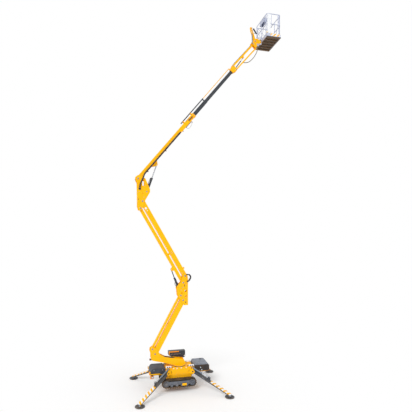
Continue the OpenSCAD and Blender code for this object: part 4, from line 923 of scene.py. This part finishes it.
# Near toe board, white with slanting stripes
k.look = 2
k.box((bx0 + 0.02, -by - 0.014, floor_z + 0.005), (bx1 - 0.02, -by - 0.010, floor_z + 0.148), 0.001)
k.look = 1
for j in range(3):
    a = bx0 + 0.09 + j * 0.20
    v = [(a, -by - 0.0152, floor_z + 0.01), (a + 0.09, -by - 0.0152, floor_z + 0.01),
         (a + 0.22, -by - 0.0152, floor_z + 0.143), (a + 0.13, -by - 0.0152, floor_z + 0.143)]
    k.add(v + [(p[0], p[1] + 0.002, p[2]) for p in v],
          [[0, 1, 2, 3], [7, 6, 5, 4], [0, 4, 5, 1], [1, 5, 6, 2], [2, 6, 7, 3], [3, 7, 4, 0]])
# Raised tread on the floor
k.look = 0
for a in range(9):
    for b in range(15):
        x, y = bx0 + 0.06 + a * 0.077, -0.56 + b * 0.08
        w = 0.785 if (a + b) % 2 else -0.785
        d, e = Vector((math.cos(w), math.sin(w), 0)) * 0.02, Vector((-math.sin(w), math.cos(w), 0)) * 0.004
        c, up = Vector((x, y, floor_z)), Vector((0, 0, 0.0025))
        k.add([c - d, c + e, c + d, c - e, c - d * 0.5 + up, c + e * 0.3 + up, c + d * 0.5 + up, c - e * 0.3 + up],
              [[4, 5, 6, 7], [0, 1, 5, 4], [1, 2, 6, 5], [2, 3, 7, 6], [3, 0, 4, 7], [3, 2, 1, 0]])
# Underside skin in the bays between the ribs
k.look = 7
for a in range(-2, 3):
    k.box((bx0 + 0.024, a * 0.23 - 0.094, floor_z - 0.0085), (bx1 - 0.024, a * 0.23 + 0.094, floor_z - 0.0062), 0.001)
k.look = 8
for a in range(6):
    y = -0.575 + 0.23 * a
    half = 0.055 if a in (0, 5) else 0.0185
    k.box((bx0 + 0.024, y - half, floor_z - 0.0316), (bx1 - 0.024, y + half, floor_z - 0.0300), 0.0005)
for x in (bx0 + 0.003, bx1 - 0.003):
    k.box((x - 0.0195, -0.629, floor_z - 0.0316), (x + 0.0195, 0.629, floor_z - 0.0300), 0.0005)
for a in range(-2, 3):
    for s in (-1, 1):
        y = 0.23 * a + s * 0.0945
        k.box((bx0 + 0.024, y - 0.0006, floor_z - 0.0300), (bx1 - 0.024, y + 0.0006, floor_z - 0.0062), 0.0002)
# Dark sill along the tray's long and short sides
k.look = 3
for s in (-1, 1):
    k.box((bx0 - 0.015, min(s * 0.6295, s * 0.6315), floor_z - 0.030),
          (bx1 + 0.015, max(s * 0.6295, s * 0.6315), floor_z + 0.004), 0.0008)
# White faces on the broad post
k.look = 2
for y in (-by - 0.0185, -by + 0.0168):
    k.box((bx0 + 0.021, y, floor_z + 0.15), (bx0 + 0.189, y + 0.0017, top - 0.02), 0.0005)
# Control box face, levers and stop button
cz = top - 0.04
k.look = 3
k.box((bx0 - 0.018, -0.325, cz), (bx0 + 0.147, 0.125, cz + 0.006), 0.002)
for y in (-0.26, -0.1, 0.04):
    k.look = 3
    k.lathe((bx0 + 0.06, y, cz + 0.006), (bx0 + 0.06, y, cz + 1),
            [(0, 0.022), (0.008, 0.016), (0.012, 0.006), (0.028, 0.005), (0.031, 0.013), (0.043, 0.014), (0.048, 0.008)], 16)
k.look = 6
k.lathe((bx0 + 0.11, 0.09, cz + 0.006), (bx0 + 0.11, 0.09, cz + 1), [(0, 0.012), (0.012, 0.012), (0.013, 0.022), (0.024, 0.021), (0.028, 0.014)], 20)
k.look = 5
k.lathe((bx0 + 0.01, -by - 0.012, floor_z + 0.16), (bx0 + 0.01, -by - 0.012, floor_z + 1.0), [(0, 0.024), (0.03, 0.024), (0.045, 0.015), (0.05, 0.006)], 20)
k.look = 4
for x, y in ((bx0 + 0.3, by), (bx1 - 0.2, by), (bx1, -0.3), (bx1, 0.3)):
    k.lathe((x, y, top - 0.06), (x, y, top), [(0, 0.006), (0.012, 0.014), (0.02, 0.014), (0.03, 0.006)], 12)
k.done()

# Stage
floor = bpy.data.meshes.new("floor")
floor.from_pydata([(-60, -60, 0), (60, -60, 0), (60, 60, 0), (-60, 60, 0)], [], [(0, 1, 2, 3)])
floor_ob = bpy.data.objects.new("floor", floor)
bpy.context.scene.collection.objects.link(floor_ob)
fm = bpy.data.materials.new("floor")
fm.use_nodes = True
t = fm.node_tree
pb = t.nodes["Principled BSDF"]
pb.inputs["Base Color"].default_value = (0.94, 0.94, 0.94, 1)
pb.inputs["Roughness"].default_value = 0.9
em = t.nodes.new("ShaderNodeEmission")
em.inputs["Strength"].default_value = 1.0
gr = t.nodes.new("ShaderNodeTexGradient")
gr.gradient_type = "SPHERICAL"
mp = t.nodes.new("ShaderNodeMapping")
mp.inputs["Location"].default_value = (-SX / 9.0, 0, 0)
mp.inputs["Scale"].default_value = (1 / 9.0, 1 / 9.0, 1)
tc = t.nodes.new("ShaderNodeTexCoord")
rp = t.nodes.new("ShaderNodeValToRGB")
rp.color_ramp.elements[0].position = 0.25
rp.color_ramp.elements[1].position = 0.7
mx = t.nodes.new("ShaderNodeMixShader")
t.links.new(tc.outputs["Object"], mp.inputs["Vector"])
t.links.new(mp.outputs["Vector"], gr.inputs["Vector"])
t.links.new(gr.outputs["Fac"], rp.inputs["Fac"])
t.links.new(rp.outputs["Color"], mx.inputs["Fac"])
t.links.new(em.outputs[0], mx.inputs[1])
t.links.new(pb.outputs[0], mx.inputs[2])
t.links.new(mx.outputs[0], t.nodes["Material Output"].inputs["Surface"])
floor.materials.append(fm)

world = bpy.data.worlds.new("world")
bpy.context.scene.world = world
world.use_nodes = True
w = world.node_tree
bg = w.nodes["Background"]
bg.inputs["Color"].default_value = (1, 1, 1, 1)
bg.inputs["Strength"].default_value = 0.62
seen = w.nodes.new("ShaderNodeBackground")
seen.inputs["Color"].default_value = (1, 1, 1, 1)
seen.inputs["Strength"].default_value = 1.0
lp = w.nodes.new("ShaderNodeLightPath")
add = w.nodes.new("ShaderNodeMath")
add.operation = "ADD"
add.use_clamp = True
w.links.new(lp.outputs["Is Camera Ray"], add.inputs[0])
w.links.new(lp.outputs["Is Glossy Ray"], add.inputs[1])
add2 = w.nodes.new("ShaderNodeMath")
add2.operation = "ADD"
add2.use_clamp = True
w.links.new(add.outputs[0], add2.inputs[0])
w.links.new(lp.outputs["Is Transmission Ray"], add2.inputs[1])
wm = w.nodes.new("ShaderNodeMixShader")
w.links.new(add2.outputs[0], wm.inputs["Fac"])
w.links.new(bg.outputs[0], wm.inputs[1])
w.links.new(seen.outputs[0], wm.inputs[2])
w.links.new(wm.outputs[0], w.nodes["World Output"].inputs["Surface"])


def sun(name, strength, angle, rot):
    d = bpy.data.lights.new(name, "SUN")
    d.energy, d.angle = strength, math.radians(angle)
    o = bpy.data.objects.new(name, d)
    o.rotation_euler = [math.radians(v) for v in rot]
    bpy.context.scene.collection.objects.link(o)


sun("key", 1.7, 25, (48, 0, -38))
sun("fill", 0.5, 60, (65, 0, 55))
bpy.context.scene.view_settings.view_transform = "Standard"
